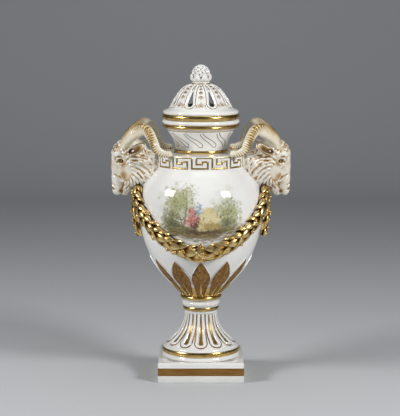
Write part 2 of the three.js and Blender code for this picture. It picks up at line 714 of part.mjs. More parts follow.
// Finial
{
  const at = (z) => finialBase + z;
  const cup = turned([
    [finialStemRadius, at(0)],
    [finialStemRadius + 3.4, at(0.6)],
    [finialLeafRadius - 0.6, at(2.4)],
    [finialLeafRadius, at(finialLeafHeight - 0.4)],
    [finialLeafRadius - 0.9, at(finialLeafHeight)],
    [finialLeafRadius - 1.9, at(3)],
    [finialStemRadius + 1.6, at(1.9)],
    [finialStemRadius - 1, at(1.6)],
    [0, at(1.6)],
    [0, at(0)],
  ]);
  const positions = cup.getAttribute("position");
  for (let i = 0; i < positions.count; i++) {
    const [x, y, z] = [positions.getX(i), positions.getY(i), positions.getZ(i)];
    if (z < at(2.8)) continue;
    const dip = 2.2 * (1 - Math.abs(Math.cos((finialLeafCount * Math.atan2(y, x)) / 2)));
    positions.setZ(i, Math.max(z - dip, at(2.8)));
  }
  add("finial_cup", cup, tinted(), cover);
  const centre = at(finialBallHeight);
  const ball = (radius, across, down) => solid(new THREE.SphereGeometry(radius, across, down));
  let buds = ball(finialBallRadius, 10, 6).translate([0, 0, centre]);
  for (let i = 0; i < budCount; i++) {
    const height = 1 - (2 * (i + 0.5)) / budCount;
    const turn = i * Math.PI * (3 - Math.sqrt(5));
    const ring = Math.sqrt(1 - height * height);
    const direction = new THREE.Vector3(ring * Math.cos(turn), ring * Math.sin(turn), height);
    const at = direction.multiplyScalar(finialBallRadius);
    buds = buds.add(ball(budRadius, 6, 3).translate([at.x, at.y, at.z + centre]));
  }
  const stem = solid(rod(finialStemRadius - 1.4, at(1.6) + fit, centre, 16));
  const cupCutter = turned([
    [0, at(-2)],
    [finialLeafRadius + fit, at(-2)],
    [finialLeafRadius + fit, at(finialLeafHeight)],
    [finialLeafRadius - 0.9 - fit, at(finialLeafHeight) + fit],
    [finialLeafRadius - 1.9 - fit, at(3) + fit],
    [finialStemRadius + 1.6, at(1.9) + fit],
    [0, at(1.6) + fit],
  ]);
  add("finial_buds", buds.add(stem).subtract(solid(cupCutter)), tinted(), cover);
}

export default vase;
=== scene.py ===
# %% [markdown]
# # A porcelain perfume burner vase
# The object is a white hard-paste porcelain vase with gilding, about 330 mm high. It was thrown and
# moulded in several parts, fired, glazed and painted, and then bolted together through the foot. The
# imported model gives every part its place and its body, and this script gives each part its finished shape
# and surface.

# %% Load the frame
import bpy
import math
import mathutils
import numpy as np
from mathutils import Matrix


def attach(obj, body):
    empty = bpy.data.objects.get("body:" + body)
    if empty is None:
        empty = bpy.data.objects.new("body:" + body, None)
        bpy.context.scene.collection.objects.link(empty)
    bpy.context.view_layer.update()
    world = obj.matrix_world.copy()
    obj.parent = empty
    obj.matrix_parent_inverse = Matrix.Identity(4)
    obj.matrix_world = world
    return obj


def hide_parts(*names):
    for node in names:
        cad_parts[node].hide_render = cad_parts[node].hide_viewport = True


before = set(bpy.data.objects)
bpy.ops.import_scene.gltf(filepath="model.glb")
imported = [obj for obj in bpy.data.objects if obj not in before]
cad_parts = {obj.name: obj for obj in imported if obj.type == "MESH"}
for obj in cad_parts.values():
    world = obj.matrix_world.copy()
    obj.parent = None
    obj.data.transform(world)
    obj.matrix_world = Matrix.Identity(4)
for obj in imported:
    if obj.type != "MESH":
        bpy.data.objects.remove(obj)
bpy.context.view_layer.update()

# %% [markdown]
# Sizes are written in millimetres, as a potter would give them, and turned to metres when a mesh is made.
# One helper makes every mesh: it takes points and faces, shades them smooth, and says which body the
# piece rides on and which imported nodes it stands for.

# %% Helper: one finished piece from points and faces
MM = 0.001


def make_piece(name, points, faces, finish, body, slot, stands_for=(), sharp=None):
    mesh = bpy.data.meshes.new(name)
    mesh.from_pydata((np.asarray(points) * MM).tolist(), [], [list(map(int, f)) for f in faces])
    mesh.validate()
    mesh.polygons.foreach_set("use_smooth", [True] * len(mesh.polygons))
    if sharp is not None:
        mesh.set_sharp_from_angle(angle=math.radians(sharp))
    mesh.materials.append(finish)
    piece = bpy.data.objects.new(name, mesh)
    bpy.context.scene.collection.objects.link(piece)
    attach(piece, body)
    if stands_for:
        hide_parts(*stands_for)
    print(f"{name}: {len(mesh.vertices)} points, {len(mesh.polygons)} faces")
    return piece


def joined(parts):
    """Several (points, faces) as one."""
    points, faces, count = [], [], 0
    for part_points, part_faces in parts:
        part_points = np.asarray(part_points, float)
        points.append(part_points)
        faces += [[i + count for i in face] for face in part_faces]
        count += len(part_points)
    return np.vstack(points), faces


# %% [markdown]
# A material is a short list of nodes, so one function that adds a node with its settings and links is
# enough. Colours are written as sRGB hex, as they would be picked from a swatch, and one function turns
# them to linear.

# %% Helper: nodes and colours


def linear(hex_colour):
    """An sRGB hex colour as linear red, green and blue, with a full alpha."""
    channels = [int(hex_colour.lstrip("#")[i : i + 2], 16) / 255 for i in (0, 2, 4)]
    return (*[c / 12.92 if c <= 0.04045 else ((c + 0.055) / 1.055) ** 2.4 for c in channels], 1.0)


def add_node(tree, kind, settings=None, **links):
    """A node with its settings. A link is named after its socket, or by the socket's number, as in _0."""
    node = tree.nodes.new(kind)
    for key, value in (settings or {}).items():
        if isinstance(key, str) and hasattr(node, key):
            setattr(node, key, value)
        else:
            node.inputs[key].default_value = value
    for key, source in links.items():
        socket = int(key[1:]) if key.startswith("_") else key.replace("_", " ")
        tree.links.new(source, node.inputs[socket])
    return node


def new_material(name, **surface):
    """A material, its node tree and the place on the object that its textures go by."""
    material = bpy.data.materials.new(name)
    material.use_nodes = True
    tree = material.node_tree
    shader = tree.nodes["Principled BSDF"]
    for key, value in surface.items():
        shader.inputs[key.replace("_", " ")].default_value = value
    coordinates = add_node(tree, "ShaderNodeTexCoord")
    return material, tree, coordinates.outputs["Object"]


def colour_by(tree, source, stops):
    """Colours the surface by a value. The stops are rising values with their colours."""
    node = add_node(tree, "ShaderNodeValToRGB", Fac=source)
    while len(node.color_ramp.elements) < len(stops):
        node.color_ramp.elements.new(0.5)
    for element, (value, colour) in zip(node.color_ramp.elements, stops):
        element.position = value
        element.color = linear(colour)
    tree.links.new(node.outputs["Color"], tree.nodes["Principled BSDF"].inputs["Base Color"])


def bump_by(tree, source, strength, depth):
    """Lets a value raise and lower the surface a little. The depth is in metres."""
    bump = add_node(tree, "ShaderNodeBump", {"Strength": strength, "Distance": depth}, Height=source)
    tree.links.new(bump.outputs["Normal"], tree.nodes["Principled BSDF"].inputs["Normal"])


# %% [markdown]
# **Glazed hard-paste porcelain.** The body is a dense white clay, and the glaze is a clear feldspar glass
# fired onto it. The eye sees a clean, faintly cool white under a wet shine. The glaze is never quite
# level, so a very low, broad bump lets the reflections waver, and the white drifts a little in tone.

# %% Porcelain
def glazed_porcelain(name):
    """White clay under a clear wet glaze that drifts a little in tone and level."""
    glaze = {"Roughness": 0.09, "IOR": 1.5, "Coat_Weight": 0.25, "Coat_Roughness": 0.03}
    material, tree, place = new_material(name, **glaze)
    drift = add_node(tree, "ShaderNodeTexNoise", {"Scale": 18.0, "Detail": 2.0}, Vector=place)
    colour_by(tree, drift.outputs["Fac"], [(0.35, "#e9e8e4"), (0.65, "#f3f2ee")])
    ripple = add_node(tree, "ShaderNodeTexNoise", {"Scale": 45.0, "Detail": 1.0}, Vector=place)
    bump_by(tree, ripple.outputs["Fac"], 0.02, 0.002)
    return material


porcelain = glazed_porcelain("glazed_porcelain")
print("made", porcelain.name)

# %% [markdown]
# ** Burnished gold.** Fired gold comes out of the kiln matt and brown, and is rubbed bright with a
# bloodstone or an agate. Rubbing reaches the high places, so raised work shines and hollows keep the
# brown of the unburnished gold. The finish is a metal: the colour carries all of the look, and the
# roughness says how far it was rubbed. The mouldings are **burnished**. **Line gold** and **shaded gold**
# were drawn with a fine brush and left duller. On the foot the dark shaded gold is also painted shade in
# the valleys beside the ribs. **Pattern gold** is the key's, **pale gold** catches the light on ribs and
# small leaves, and **painted shade gold**, a dark brown, is painted shade in the depths of the laurel.
# **Laurel gold** goes from bright to near black by how deep a place lies: the brown of unburnished gold
# in the hollows, and painted shade in the deepest gaps.

# %% Gilding
BRUSH_HAIR = 1.2  # mm, the grain that a gilder's brush leaves


def fired_gold(name, bright, dull, rough):
    """Gold between a bright and a dull tone, worn in patches."""
    material, tree, place = new_material(name, Metallic=1.0, Roughness=rough)
    patches = {"Scale": 1000 / (BRUSH_HAIR * 6), "Detail": 4.0, "Roughness": 0.6}
    wear = add_node(tree, "ShaderNodeTexNoise", patches, Vector=place)
    colour_by(tree, wear.outputs["Fac"], [(0.3, dull), (0.6, bright)])
    fine = add_node(tree, "ShaderNodeTexNoise", {"Scale": 1000 / BRUSH_HAIR, "Detail": 2.0}, Vector=place)
    bump_by(tree, fine.outputs["Fac"], 0.12, 0.0004)
    return material


burnished_gold = fired_gold("burnished_gold", "#e0c07a", "#ad8845", 0.22)
line_gold = fired_gold("line_gold", "#c4a45c", "#9a7a3a", 0.34)
# Dark gold for fine lines. On the foot its darkness is also painted shade in the valleys beside the ribs.
shaded_gold = fired_gold("shaded_gold", "#9a7434", "#6b4a1f", 0.42)
pattern_gold = fired_gold("pattern_gold", "#cdb06c", "#a3854a", 0.34)
pale_gold = fired_gold("pale_gold", "#e3cb92", "#b79250", 0.38)
# Dark brown gold for the rope cores: painted shade in the gaps between the laurel leaves.
painted_shade_gold = fired_gold("painted_shade_gold", "#5d4120", "#34220f", 0.6)


def depth_in_patches(tree, place, scale, detail, share):
    """How deep a place lies, made uneven by a share of noise."""
    depth = add_node(tree, "ShaderNodeAttribute", {"attribute_name": "recess"})
    noise = add_node(tree, "ShaderNodeTexNoise", {"Scale": scale, "Detail": detail}, Vector=place)
    uneven = add_node(tree, "ShaderNodeMath", {"operation": "MULTIPLY_ADD", 1: share},
                      _0=noise.outputs["Fac"], _2=depth.outputs["Fac"])
    return uneven.outputs["Value"]


# Laurel gold darkens with depth: the brown of unburnished gold in the hollows, and near black painted shade
# in the deepest gaps.
laurel_gold_with_painted_shade, tree, place = new_material("laurel_gold_with_painted_shade", Metallic=1.0, Roughness=0.34)
colour_by(tree, depth_in_patches(tree, place, 150.0, 2.0, 0.3),
          [(0.18, "#ecd394"), (0.4, "#bd9350"), (0.66, "#694720"), (0.9, "#2b1a0b")])
golds = (burnished_gold, line_gold, shaded_gold, pattern_gold, pale_gold, painted_shade_gold, laurel_gold_with_painted_shade)
print("made", *[gold.name for gold in golds])

# %% [markdown]
# **Matt gold.** Flat fields of gold, such as the calyx leaves and the band on the plinth, were left as
# they came from the kiln. They are brown and satiny, with the strokes of a broad brush still in them.

# %% Matt gold
def unburnished_gold(name, strokes, contrast):
    """Flat brown gold with brush strokes in it. The three scales say which way the brush ran."""
    material, tree, place = new_material(name, Metallic=0.55, Roughness=0.5)
    stroke = add_node(tree, "ShaderNodeMapping", {"Scale": strokes}, Vector=place)
    streaks = add_node(tree, "ShaderNodeTexNoise", {"Scale": 1.0, "Detail": 5.0, "Roughness": 0.65},
                       Vector=stroke.outputs["Vector"])
    stops = [(0.52 - contrast, "#68451f"), (0.52, "#966d35"), (0.52 + contrast, "#c09a5a")]
    colour_by(tree, streaks.outputs["Fac"], stops)
    bump_by(tree, streaks.outputs["Fac"], 0.2, 0.0004)
    return material


matt_gold = unburnished_gold("matt_gold", (420.0, 420.0, 40.0), 0.18)
band_gold = unburnished_gold("band_gold", (50.0, 50.0, 700.0), 0.34)
print("made", matt_gold.name, band_gold.name)

# %% [markdown]
# ** Tinted and shaded porcelain.** On the heads, the horns, the finial and the dome the white turns brown
# by a number that each point of the mesh carries, for how deep it lies. It is either worked out from the
# shape or given directly. On the heads and in the horns' ribs this brown is painted shade in the
# recesses. On the dome it colours the husks, darkest at their edges, and on the finial's leaves it
# darkens towards their foot. The horns' porcelain is creamier than that of the rest.

# %% Painted shade in the recesses, and brown tint
def paint_recess(piece, value):
    """Writes how deep each point lies, as given."""
    field = piece.data.attributes.new("recess", "FLOAT", "POINT")
    field.data.foreach_set("value", np.asarray(value, np.float32))


def mark_recesses(piece, reach):
    """Writes how hollow each point of the mesh is, from 0 on the high places to 1 in the recesses."""
    mesh = piece.data
    count = len(mesh.vertices)
    co = np.empty(count * 3)
    mesh.vertices.foreach_get("co", co)
    co = co.reshape(-1, 3)
    normals = np.empty(count * 3)
    mesh.vertices.foreach_get("normal", normals)
    normals = normals.reshape(-1, 3)
    ends = np.empty(len(mesh.edges) * 2, int)
    mesh.edges.foreach_get("vertices", ends)
    a, b = ends.reshape(-1, 2).T
    shared = np.bincount(np.r_[a, b], minlength=count).clip(1)

    def mean_of_neighbours(values):
        total = np.stack([np.bincount(np.r_[a, b], np.r_[values[b, i], values[a, i]], minlength=count)
                          for i in range(values.shape[1])], 1)
        return total / shared[:, None]

    smooth = co
    for _ in range(reach):
        smooth = mean_of_neighbours(smooth)
    size = np.median(np.linalg.norm(co[a] - co[b], axis=1))
    hollow = np.einsum("ij,ij->i", smooth - co, normals)[:, None] / (size * reach)
    for _ in range(reach):
        hollow = mean_of_neighbours(hollow)
    paint_recess(piece, np.clip(0.5 + 2.2 * hollow[:, 0], 0, 1))


def porcelain_with_tint_and_shade(name, colours):
    """Porcelain that turns from clean white to the deepest brown by each point's number, for painted shade in
    recesses and for the brown of painted husks.
    """
    glaze = {"Roughness": 0.16, "IOR": 1.5, "Coat_Weight": 0.2, "Coat_Roughness": 0.05}
    material, tree, place = new_material(name, **glaze)
    colour_by(tree, depth_in_patches(tree, place, 90.0, 3.0, 0.34),
              list(zip((0.5, 0.68, 0.8, 0.95), colours)))
    return material


# Painted shade in the hollows of heads and horn ribs, and the brown of the dome's husks.
tinted_and_shaded_porcelain = porcelain_with_tint_and_shade("tinted_and_shaded_porcelain", ("#f1efea", "#e4dccb", "#b08c52", "#5c4426"))
horn_porcelain = porcelain_with_tint_and_shade("horn_porcelain", ("#f0ead9", "#e3d3a9", "#b48c4c", "#5a3f1e"))
print("made", tinted_and_shaded_porcelain.name, horn_porcelain.name)

# %% [markdown]
# Turned pieces come from an outline of radius and height, spun round the axis as on a potter's wheel. The
# outline also serves as a ruler: gold lines, leaves and painting are laid on it by angle and by distance
# along it.

# %% Helper: outlines and turned pieces


def bezier(p0, p1, p2, p3, steps):
    """A smooth curve from the first point to the last, pulled by the two between."""
    t = np.linspace(0, 1, steps + 1)[:, None]
    p0, p1, p2, p3 = (np.array(p, float) for p in (p0, p1, p2, p3))
    return (1 - t) ** 3 * p0 + 3 * t * (1 - t) ** 2 * p1 + 3 * t**2 * (1 - t) * p2 + t**3 * p3


def bulge(radius, low, high, out, steps=10):
    """A half-round moulding, from low to high."""
    a = np.linspace(0, np.pi, steps + 1)
    return np.stack([radius + out * np.sin(a), low + (high - low) * (1 - np.cos(a)) / 2], 1)


def polar(angle, radius, height):
    """Points in space. Angle 0 is the front of the vase, and it grows towards the right."""
    angle, radius, height = np.broadcast_arrays(angle, radius, height)
    return np.stack([radius * np.sin(angle), -radius * np.cos(angle), height], -1)


def grid_faces(rows, columns, wrap=False):
    """Quads between rows of points. Wrap joins the last column to the first."""
    last = columns if wrap else columns - 1
    i, j = np.meshgrid(np.arange(rows - 1), np.arange(last), indexing="ij")
    k = (j + 1) % columns
    quads = np.stack([i * columns + j, i * columns + k, (i + 1) * columns + k, (i + 1) * columns + j], -1)
    return quads.reshape(-1, 4).tolist()


def closing_faces(rows, columns):
    """Quads that join the last row of rings back to the first."""
    last = (rows - 1) * columns
    return [[last + j, last + (j + 1) % columns, (j + 1) % columns, j] for j in range(columns)]


def end_caps(rows, columns):
    """Two faces that shut a tube of rings at its first and its last row."""
    return [list(range(columns))[::-1], list(range((rows - 1) * columns, rows * columns))]


def turned(line, around=160):
    """A closed outline, anticlockwise, spun round the axis."""
    line = np.asarray(line, float)
    angle = np.linspace(0, 2 * np.pi, around, endpoint=False)
    points = polar(angle[None, :], line[:, :1], line[:, 1:]).reshape(-1, 3)
    return points, grid_faces(len(line), around, wrap=True) + closing_faces(len(line), around)


class Outline:
    """The outer line of a turned piece, with the distance along it."""

    def __init__(self, line):
        self.line = np.asarray(line, float)
        self.run = np.r_[0, np.cumsum(np.hypot(*np.diff(self.line, axis=0).T))]
        along = np.gradient(self.line, self.run, axis=0)
        along /= np.linalg.norm(along, axis=1)[:, None]
        self.facing = np.stack([along[:, 1], -along[:, 0]], 1)

    def run_at(self, height):
        """How far along the line a height is reached."""
        return np.interp(height, self.line[:, 1], self.run)

    def radius(self, run):
        """The radius at a distance along the line."""
        return np.interp(run, self.run, self.line[:, 0])

    def place(self, angle, run, out):
        """Points at an angle, a distance along the line and a height over the surface."""
        r, z = (np.interp(run, self.run, self.line[:, i]) for i in (0, 1))
        nr, nz = (np.interp(run, self.run, self.facing[:, i]) for i in (0, 1))
        return polar(angle, r + out * nr, z + out * nz)


# %% [markdown]
# The bowl swells from a narrow base to the waist and turns in over the shoulder. There it stands up in a
# band that carries the key pattern, and a flat top leads to the neck, which opens again to the rim.
# Inside it is hollow, with a wall of about 4 mm, and that shows when the cover is lifted.

# %% Bowl
BOWL_BASE, WAIST, BOWL_RADIUS, SHOULDER = 89.0, 185.0, 65.9, 56.0
NECK_RADIUS, NECK_FOOT, NECK_BASE, NECK_TOP, RIM_SEAM, RIM_TOP = 27.0, 238.3, 241.7, 264.2, 268.2, 272.7
BAND_RADIUS, BAND_TOP = 47.35, 237.8
BOWL_WALL, NECK_WALL, BOLT_HOLE = 4.0, 3.6, 4.6

lower = bezier((20.4, BOWL_BASE), (41.8, 109.2), (BOWL_RADIUS, 132.2), (BOWL_RADIUS, WAIST), 60)
sweep = np.linspace(0, math.acos(48.5 / BOWL_RADIUS), 40)[1:]
upper = np.vstack([
    np.stack([BOWL_RADIUS * np.cos(sweep), WAIST + SHOULDER * np.sin(sweep)], 1),
    bezier((48.4, 223.1), (47.8, 223.8), (BAND_RADIUS, 224.7), (BAND_RADIUS, 226.0), 8),
    bezier((BAND_RADIUS, 226.4), (BAND_RADIUS, 229), (BAND_RADIUS, 232), (BAND_RADIUS, 236.0), 10),
    bezier((BAND_RADIUS, 236.3), (BAND_RADIUS, 237.2), (46.9, 237.7), (45.9, BAND_TOP), 8),
    bezier((45.5, BAND_TOP + 0.01), (40, 237.95), (34, 238.1), (NECK_RADIUS + 1.2, NECK_FOOT), 14),
])
bowl_outline = Outline(np.vstack([lower, upper]))
neck_line = bezier((NECK_RADIUS, NECK_BASE), (NECK_RADIUS + 0.6, 251.2), (33.4, 257.4), (37.0, NECK_TOP), 24)
neck_outline = Outline(neck_line)
rim_line = np.vstack([bulge(38.3, NECK_TOP, RIM_SEAM, 2.0), bulge(38.3, RIM_SEAM, RIM_TOP, 2.2)[1:]])
inner = (bowl_outline.line - BOWL_WALL * bowl_outline.facing)[::-1]
inner = inner[(inner[:, 1] > 99) & (inner[:, 1] < 221) & (inner[:, 0] < 62.5)]
ceiling = [(23.5, 236.0), (24.2, 234.3), (34.0, 233.9), (41.4, 233.7),
           (42.9, 233.0), (43.35, 231.6), (43.4, 224.6)]
inner_neck = (neck_line - [NECK_WALL, 0])[::-1]
inner_neck = inner_neck[inner_neck[:, 0] < 33.2]
mouth = [(37.4, RIM_TOP), (34.4, RIM_TOP - 0.1), (33.7, RIM_TOP - 0.8), (33.7, 262.2)]
bowl_floor = [(inner[-1, 0] - 3, 97.2), (BOLT_HOLE, 97.0), (BOLT_HOLE, BOWL_BASE)]
inside = np.vstack([mouth, inner_neck, ceiling, inner, bowl_floor])
neck_bead = bulge(NECK_RADIUS, NECK_FOOT, NECK_BASE, 1.3)
outside = np.vstack([lower, upper, neck_bead[1:], neck_line[1:], rim_line])
make_piece("bowl_porcelain", *turned(np.vstack([outside, inside]), 224), porcelain, "vase", "white_glaze",
           ["bowl", "shoulder", "neck"], 50)

# %% [markdown]
# Gold is laid on in strips: bands round the mouldings, and lines drawn with a fine brush. On the real
# vase it is a film. Here a strip is a thin closed skin, a few hundredths of a millimetre proud and rooted
# in the glaze, which keeps its edge crisp from any distance.

# %% Helper: skins, bands and lines laid on a surface
LIFT, ROOT = 0.06, 0.3  # mm that gold stands proud, and that it reaches into the glaze


def skin(top, under):
    """A closed solid between two grids of points. Rows climb, columns run to the right."""
    rows, columns = top.shape[:2]
    count = rows * columns
    faces = grid_faces(rows, columns)
    faces += [[i + count for i in reversed(face)] for face in faces]
    low, high = list(range(columns)), list(range(count - columns, count))
    right = [i * columns + columns - 1 for i in range(rows)]
    left = [i * columns for i in range(rows)]
    edge = low + right[1:] + high[::-1][1:] + left[::-1][1:]
    faces += [[b, a, a + count, b + count] for a, b in zip(edge, edge[1:])]
    return np.vstack([top.reshape(-1, 3), under.reshape(-1, 3)]), faces


def gold_band(line, around=160):
    """Gold all the way round on a stretch of moulding, given as its outline."""
    line = Outline(line)
    outer, inner = line.line + LIFT * line.facing, line.line - ROOT * line.facing
    return turned(np.vstack([outer, inner[::-1]]), around)


def dense(path, step):
    """More points along a polyline, no further apart than a step."""
    path = np.asarray(path, float)
    pieces = [path[:1]]
    for a, b in zip(path, path[1:]):
        n = max(1, math.ceil(np.hypot(*(b - a)) / step))
        pieces.append(a + (b - a) * np.linspace(0, 1, n + 1)[1:, None])
    return np.vstack(pieces)


def brush_line(path, width, across=2, step=1.0):
    """The grid of a line of some width along a path on the flat, with mitred corners."""
    path = dense(path, step)
    along = np.diff(path, axis=0)
    along /= np.linalg.norm(along, axis=1)[:, None]
    normal = np.stack([-along[:, 1], along[:, 0]], 1)
    before, after = np.vstack([normal[:1], normal]), np.vstack([normal, normal[-1:]])
    mitre = (before + after) / (1 + np.einsum("ij,ij->i", before, after))[:, None].clip(0.4)
    side = np.linspace(-1, 1, across + 1)
    return path[None] + side[:, None, None] * (width / 2 * mitre)[None]


def laid_on(outline, grid, middle=0.0, relief=None, lift=LIFT, straight=False):
    """A flat grid of (distance across, distance up) laid on a turned surface, as a skin.

    With straight, the grid gives angles in place of distances across, so that upright lines stay upright."""
    across, run = grid[..., 0], grid[..., 1]
    angle = middle + (across if straight else across / outline.radius(run))
    out = relief(angle, run) if relief else 0.0
    return skin(outline.place(angle, run, out + lift), outline.place(angle, run, out - ROOT))


# %% [markdown]
# The plinth is a square block, hollow below and open under the foot, with edges that the glaze has
# rounded. A band of matt gold runs round all four sides.

# %% Plinth
PLINTH_SIDE, PLINTH_HEIGHT = 90.0, 21.0


def square_ring(half, corner, height, steps=8):
    """A square with round corners at some height, anticlockwise from above."""
    a = np.linspace(0, np.pi / 2, steps + 1)
    straight = half - corner
    ring = [(sx * straight + corner * np.cos(a + turn), sy * straight + corner * np.sin(a + turn))
            for sx, sy, turn in ((1, 1, 0), (-1, 1, np.pi / 2), (-1, -1, np.pi), (1, -1, 1.5 * np.pi))]
    x, y = np.hstack(ring)
    return np.stack([x, y, np.full_like(x, height)], 1)


def stacked(rings):
    """Rings of points joined up, the last one to the first."""
    columns = len(rings[0])
    faces = grid_faces(len(rings), columns, wrap=True) + closing_faces(len(rings), columns)
    return np.vstack(rings), faces


half = PLINTH_SIDE / 2
sides = [(0.7, 0.0), (0.25, 0.2), (0.0, 0.8), (0.0, 8.0), (0.0, 14.0), (0.0, 19.7), (0.2, 20.4), (0.7, 20.85),
         (1.4, PLINTH_HEIGHT)]
hole = [(32.4, 32.35, PLINTH_HEIGHT), (32, 31.95, 20.6), (32, 31.95, 15.4), (32.4, 32.35, 15.0)]
recess = [(38.4, 3, 15.0), (39, 3, 14.4), (39.1, 3, 0.6), (39.5, 3, 0.0)]
rings = [square_ring(half - inset, 2.2, z) for inset, z in sides]
rings += [square_ring(reach, corner, z) for reach, corner, z in hole + recess]
make_piece("plinth_porcelain", *stacked(rings), porcelain, "vase", "white_glaze", ["plinth"], 50)
band = [square_ring(half + 0.07, 2.27, z) for z in (7.6, 15.7)]
band += [square_ring(half - 0.4, 2, z) for z in (15.7, 7.6)]
make_piece("plinth_gold_band", *stacked(band), band_gold, "vase", "gilding", sharp=30)

# %% [markdown]
# The foot is a trumpet on a stepped base. Twelve flutes run up it. Each is a groove inside a raised loop,
# two ribs that meet in a round U at the foot, and small darts stand between the loops. The relief is a
# function of the place on the surface, so that the clay and the gold in the grooves can both be laid on
# the same shape.

# %% Foot
FLUTES = 12
FLUTE = 2 * math.pi / FLUTES
trumpet = Outline(bezier((38.0, 33.2), (27.3, 41.0), (16.1, 50.0), (16.1, 67.5), 120))
LENGTH = trumpet.run[-1]
U_CENTRE = 9.2  # mm up the flute, the centre of the round U at its foot


def flute_widths(run):
    """Half the groove and half a rib, at a distance up the flute."""
    climb = np.clip((run - U_CENTRE) / (LENGTH - U_CENTRE), 0, 1)
    return 2.75 - 1.95 * climb ** 0.5, 1.9 - 0.45 * climb ** 0.6


def across_rib(x, run):
    """-1 and below in the groove, -1 to 1 on the rib, over 1 outside the loop."""
    groove, rib = flute_widths(run)
    reach = np.where(run > U_CENTRE, np.abs(x), np.hypot(x, run - U_CENTRE))
    return (reach - groove - rib) / rib


def foot_relief(angle, run):
    """Height over the trumpet: grooves, ribs, darts and the valley between."""
    offset = (np.asarray(angle) + FLUTE / 2) % FLUTE - FLUTE / 2
    r = trumpet.radius(run)
    x = offset * r
    across = across_rib(x, run)
    rib = 1.1 * np.sqrt(np.clip(1 - across**2, 0, 1))
    groove = -0.75 * np.sqrt(np.clip(-1 - across, 0, 1)) * np.clip(1.3 - run / LENGTH, 0, 1)
    side = FLUTE / 2 * r - np.abs(x)
    dart_width = 3.4 * np.clip(1 - (run - 1.5) / 13.0, 0, 1) + 1e-3
    dart = 0.8 * np.sqrt(np.clip(1 - (side / dart_width) ** 2, 0, 1)) * np.clip(run - 0.9, 0, 1)
    valley = -0.35 * np.clip(2.2 * (np.abs(across) - 1), 0, 1) * np.clip(run - 0.4, 0, 1)
    return np.where(across < -1, groove, rib) + np.where(across > 1, dart + valley, 0)


runs = np.r_[np.linspace(0, 14, 60), np.linspace(14, LENGTH, 75)[1:]]
angles = np.linspace(0, 2 * np.pi, FLUTES * 48, endpoint=False)
clay = trumpet.place(angles[None, :], runs[:, None], foot_relief(angles[None, :], runs[:, None]))
step = [(40.4, PLINTH_HEIGHT), (41.0, 21.4), (40.9, 22.4), (40.0, 24.2), (39.4, 25.2)]
base = np.vstack([step, bulge(39.2, 25.1, 31.7, 2.3)[1:], [(39.1, 32.0), (39.0, 32.8), (38.5, 33.2)]])
cap = np.vstack([[(16.9, 67.5), (17.35, 67.8), (17.5, 68.8), (17.35, 69.8)], bulge(17.5, 70.0, 75.0, 1.5)])
hollow = np.array([(10.0, 75.0), (BOLT_HOLE, 75.0), (BOLT_HOLE, 62.0), (11.0, 61.0), (11.4, 50.0),
                   (14.5, 42.0), (24.0, 33.5), (33.0, 28.5), (35.0, PLINTH_HEIGHT)])


def rings_of(line):
    """An outline spun round the axis, with as many points as the flutes need."""
    return polar(angles[None, :], line[:, :1], line[:, 1:])


grid = np.vstack([rings_of(base), clay, rings_of(cap), rings_of(hollow)])
rows, columns = grid.shape[:2]
faces = grid_faces(rows, columns, wrap=True) + closing_faces(rows, columns)
make_piece("foot_porcelain", grid.reshape(-1, 3), faces, porcelain, "vase", "white_glaze", ["foot"], 60)

# %% [markdown]
# The foot's gold: each groove is filled, a line follows the outside of each loop, and the two mouldings
# are banded. The lines lie in the valley, where the painter's brush ran against the rib, and their dark
# shaded gold is partly painted shade in the valley.

# %% Gold on the foot
LINE_GAP, LINE_WIDTH = 0.28, 0.95  # mm
run = U_CENTRE + (LENGTH - 0.6 - U_CENTRE) * np.linspace(0, 1, 70)
groove, rib = flute_widths(run)
low_groove, low_rib = flute_widths(U_CENTRE)
u_turn = np.linspace(0.08, np.pi / 2, 10)
rows = np.r_[U_CENTRE - low_groove * np.cos(u_turn), run[1:]]
widths = np.r_[low_groove * np.sin(u_turn), groove[1:]]
fill = np.stack([np.linspace(-1, 1, 9)[None, :] * widths[:, None] * 0.97, np.repeat(rows[:, None], 9, 1)], -1)
bend = low_groove + 2 * low_rib + LINE_GAP
turn = np.linspace(-0.15, np.pi / 2, 14)[:-1]
loop = np.r_[np.stack([bend * np.sin(turn), U_CENTRE - bend * np.cos(turn)], 1),
             np.stack([groove + 2 * rib + LINE_GAP, run], 1)]
loop = loop[loop[:, 1] > 0.3]
loop[:, 0] = np.minimum(loop[:, 0], FLUTE / 2 * trumpet.radius(loop[:, 1]) - 0.2)
right_line = brush_line(loop[::-1], LINE_WIDTH)
left_line = brush_line(loop * [-1, 1], LINE_WIDTH)
fills = [laid_on(trumpet, fill, k * FLUTE, foot_relief) for k in range(FLUTES)]
lines = [laid_on(trumpet, grid, k * FLUTE, foot_relief)
         for k in range(FLUTES) for grid in (right_line, left_line)]
bands = [gold_band(bulge(39.2, 25.2, 31.6, 2.3)), gold_band(bulge(17.5, 70.1, 74.9, 1.5))]
make_piece("foot_groove_gold", *joined(fills), line_gold, "vase", "gilding")
# The dark lines on the foot are partly painted shade in the valleys beside the ribs.
make_piece("foot_line_gold", *joined(lines), shaded_gold, "vase", "gilding")
make_piece("foot_bands_gold", *joined(bands), burnished_gold, "vase", "gilding", sharp=50)

# %% [markdown]
# Between foot and bowl sit a white collar and a gilded ring. The bolt passes through both. The ring's
# upper edge is modelled as a row of small curled leaf tips.

# %% Collar and gilded ring
hole = [[BOLT_HOLE, 82.3], [BOLT_HOLE, 75.2]]
collar = np.vstack([[[17.6, 75.1]], bulge(18.2, 75.6, 80.6, 1.7)[1:-1], [[18.0, 81.2], [18.3, 82.4]]])
make_piece("collar_porcelain", *turned(np.vstack([collar, hole])), porcelain, "vase", "white_glaze",
           ["stem_collar"], 50)
ring = np.vstack([bulge(20.0, 82.6, 86.8, 1.9), [[19.9, 87.4], [20.1, 88.8], [BOLT_HOLE, 88.8],
                  [BOLT_HOLE, 82.6]]])
parts = [turned(ring)]
CURLS = 30


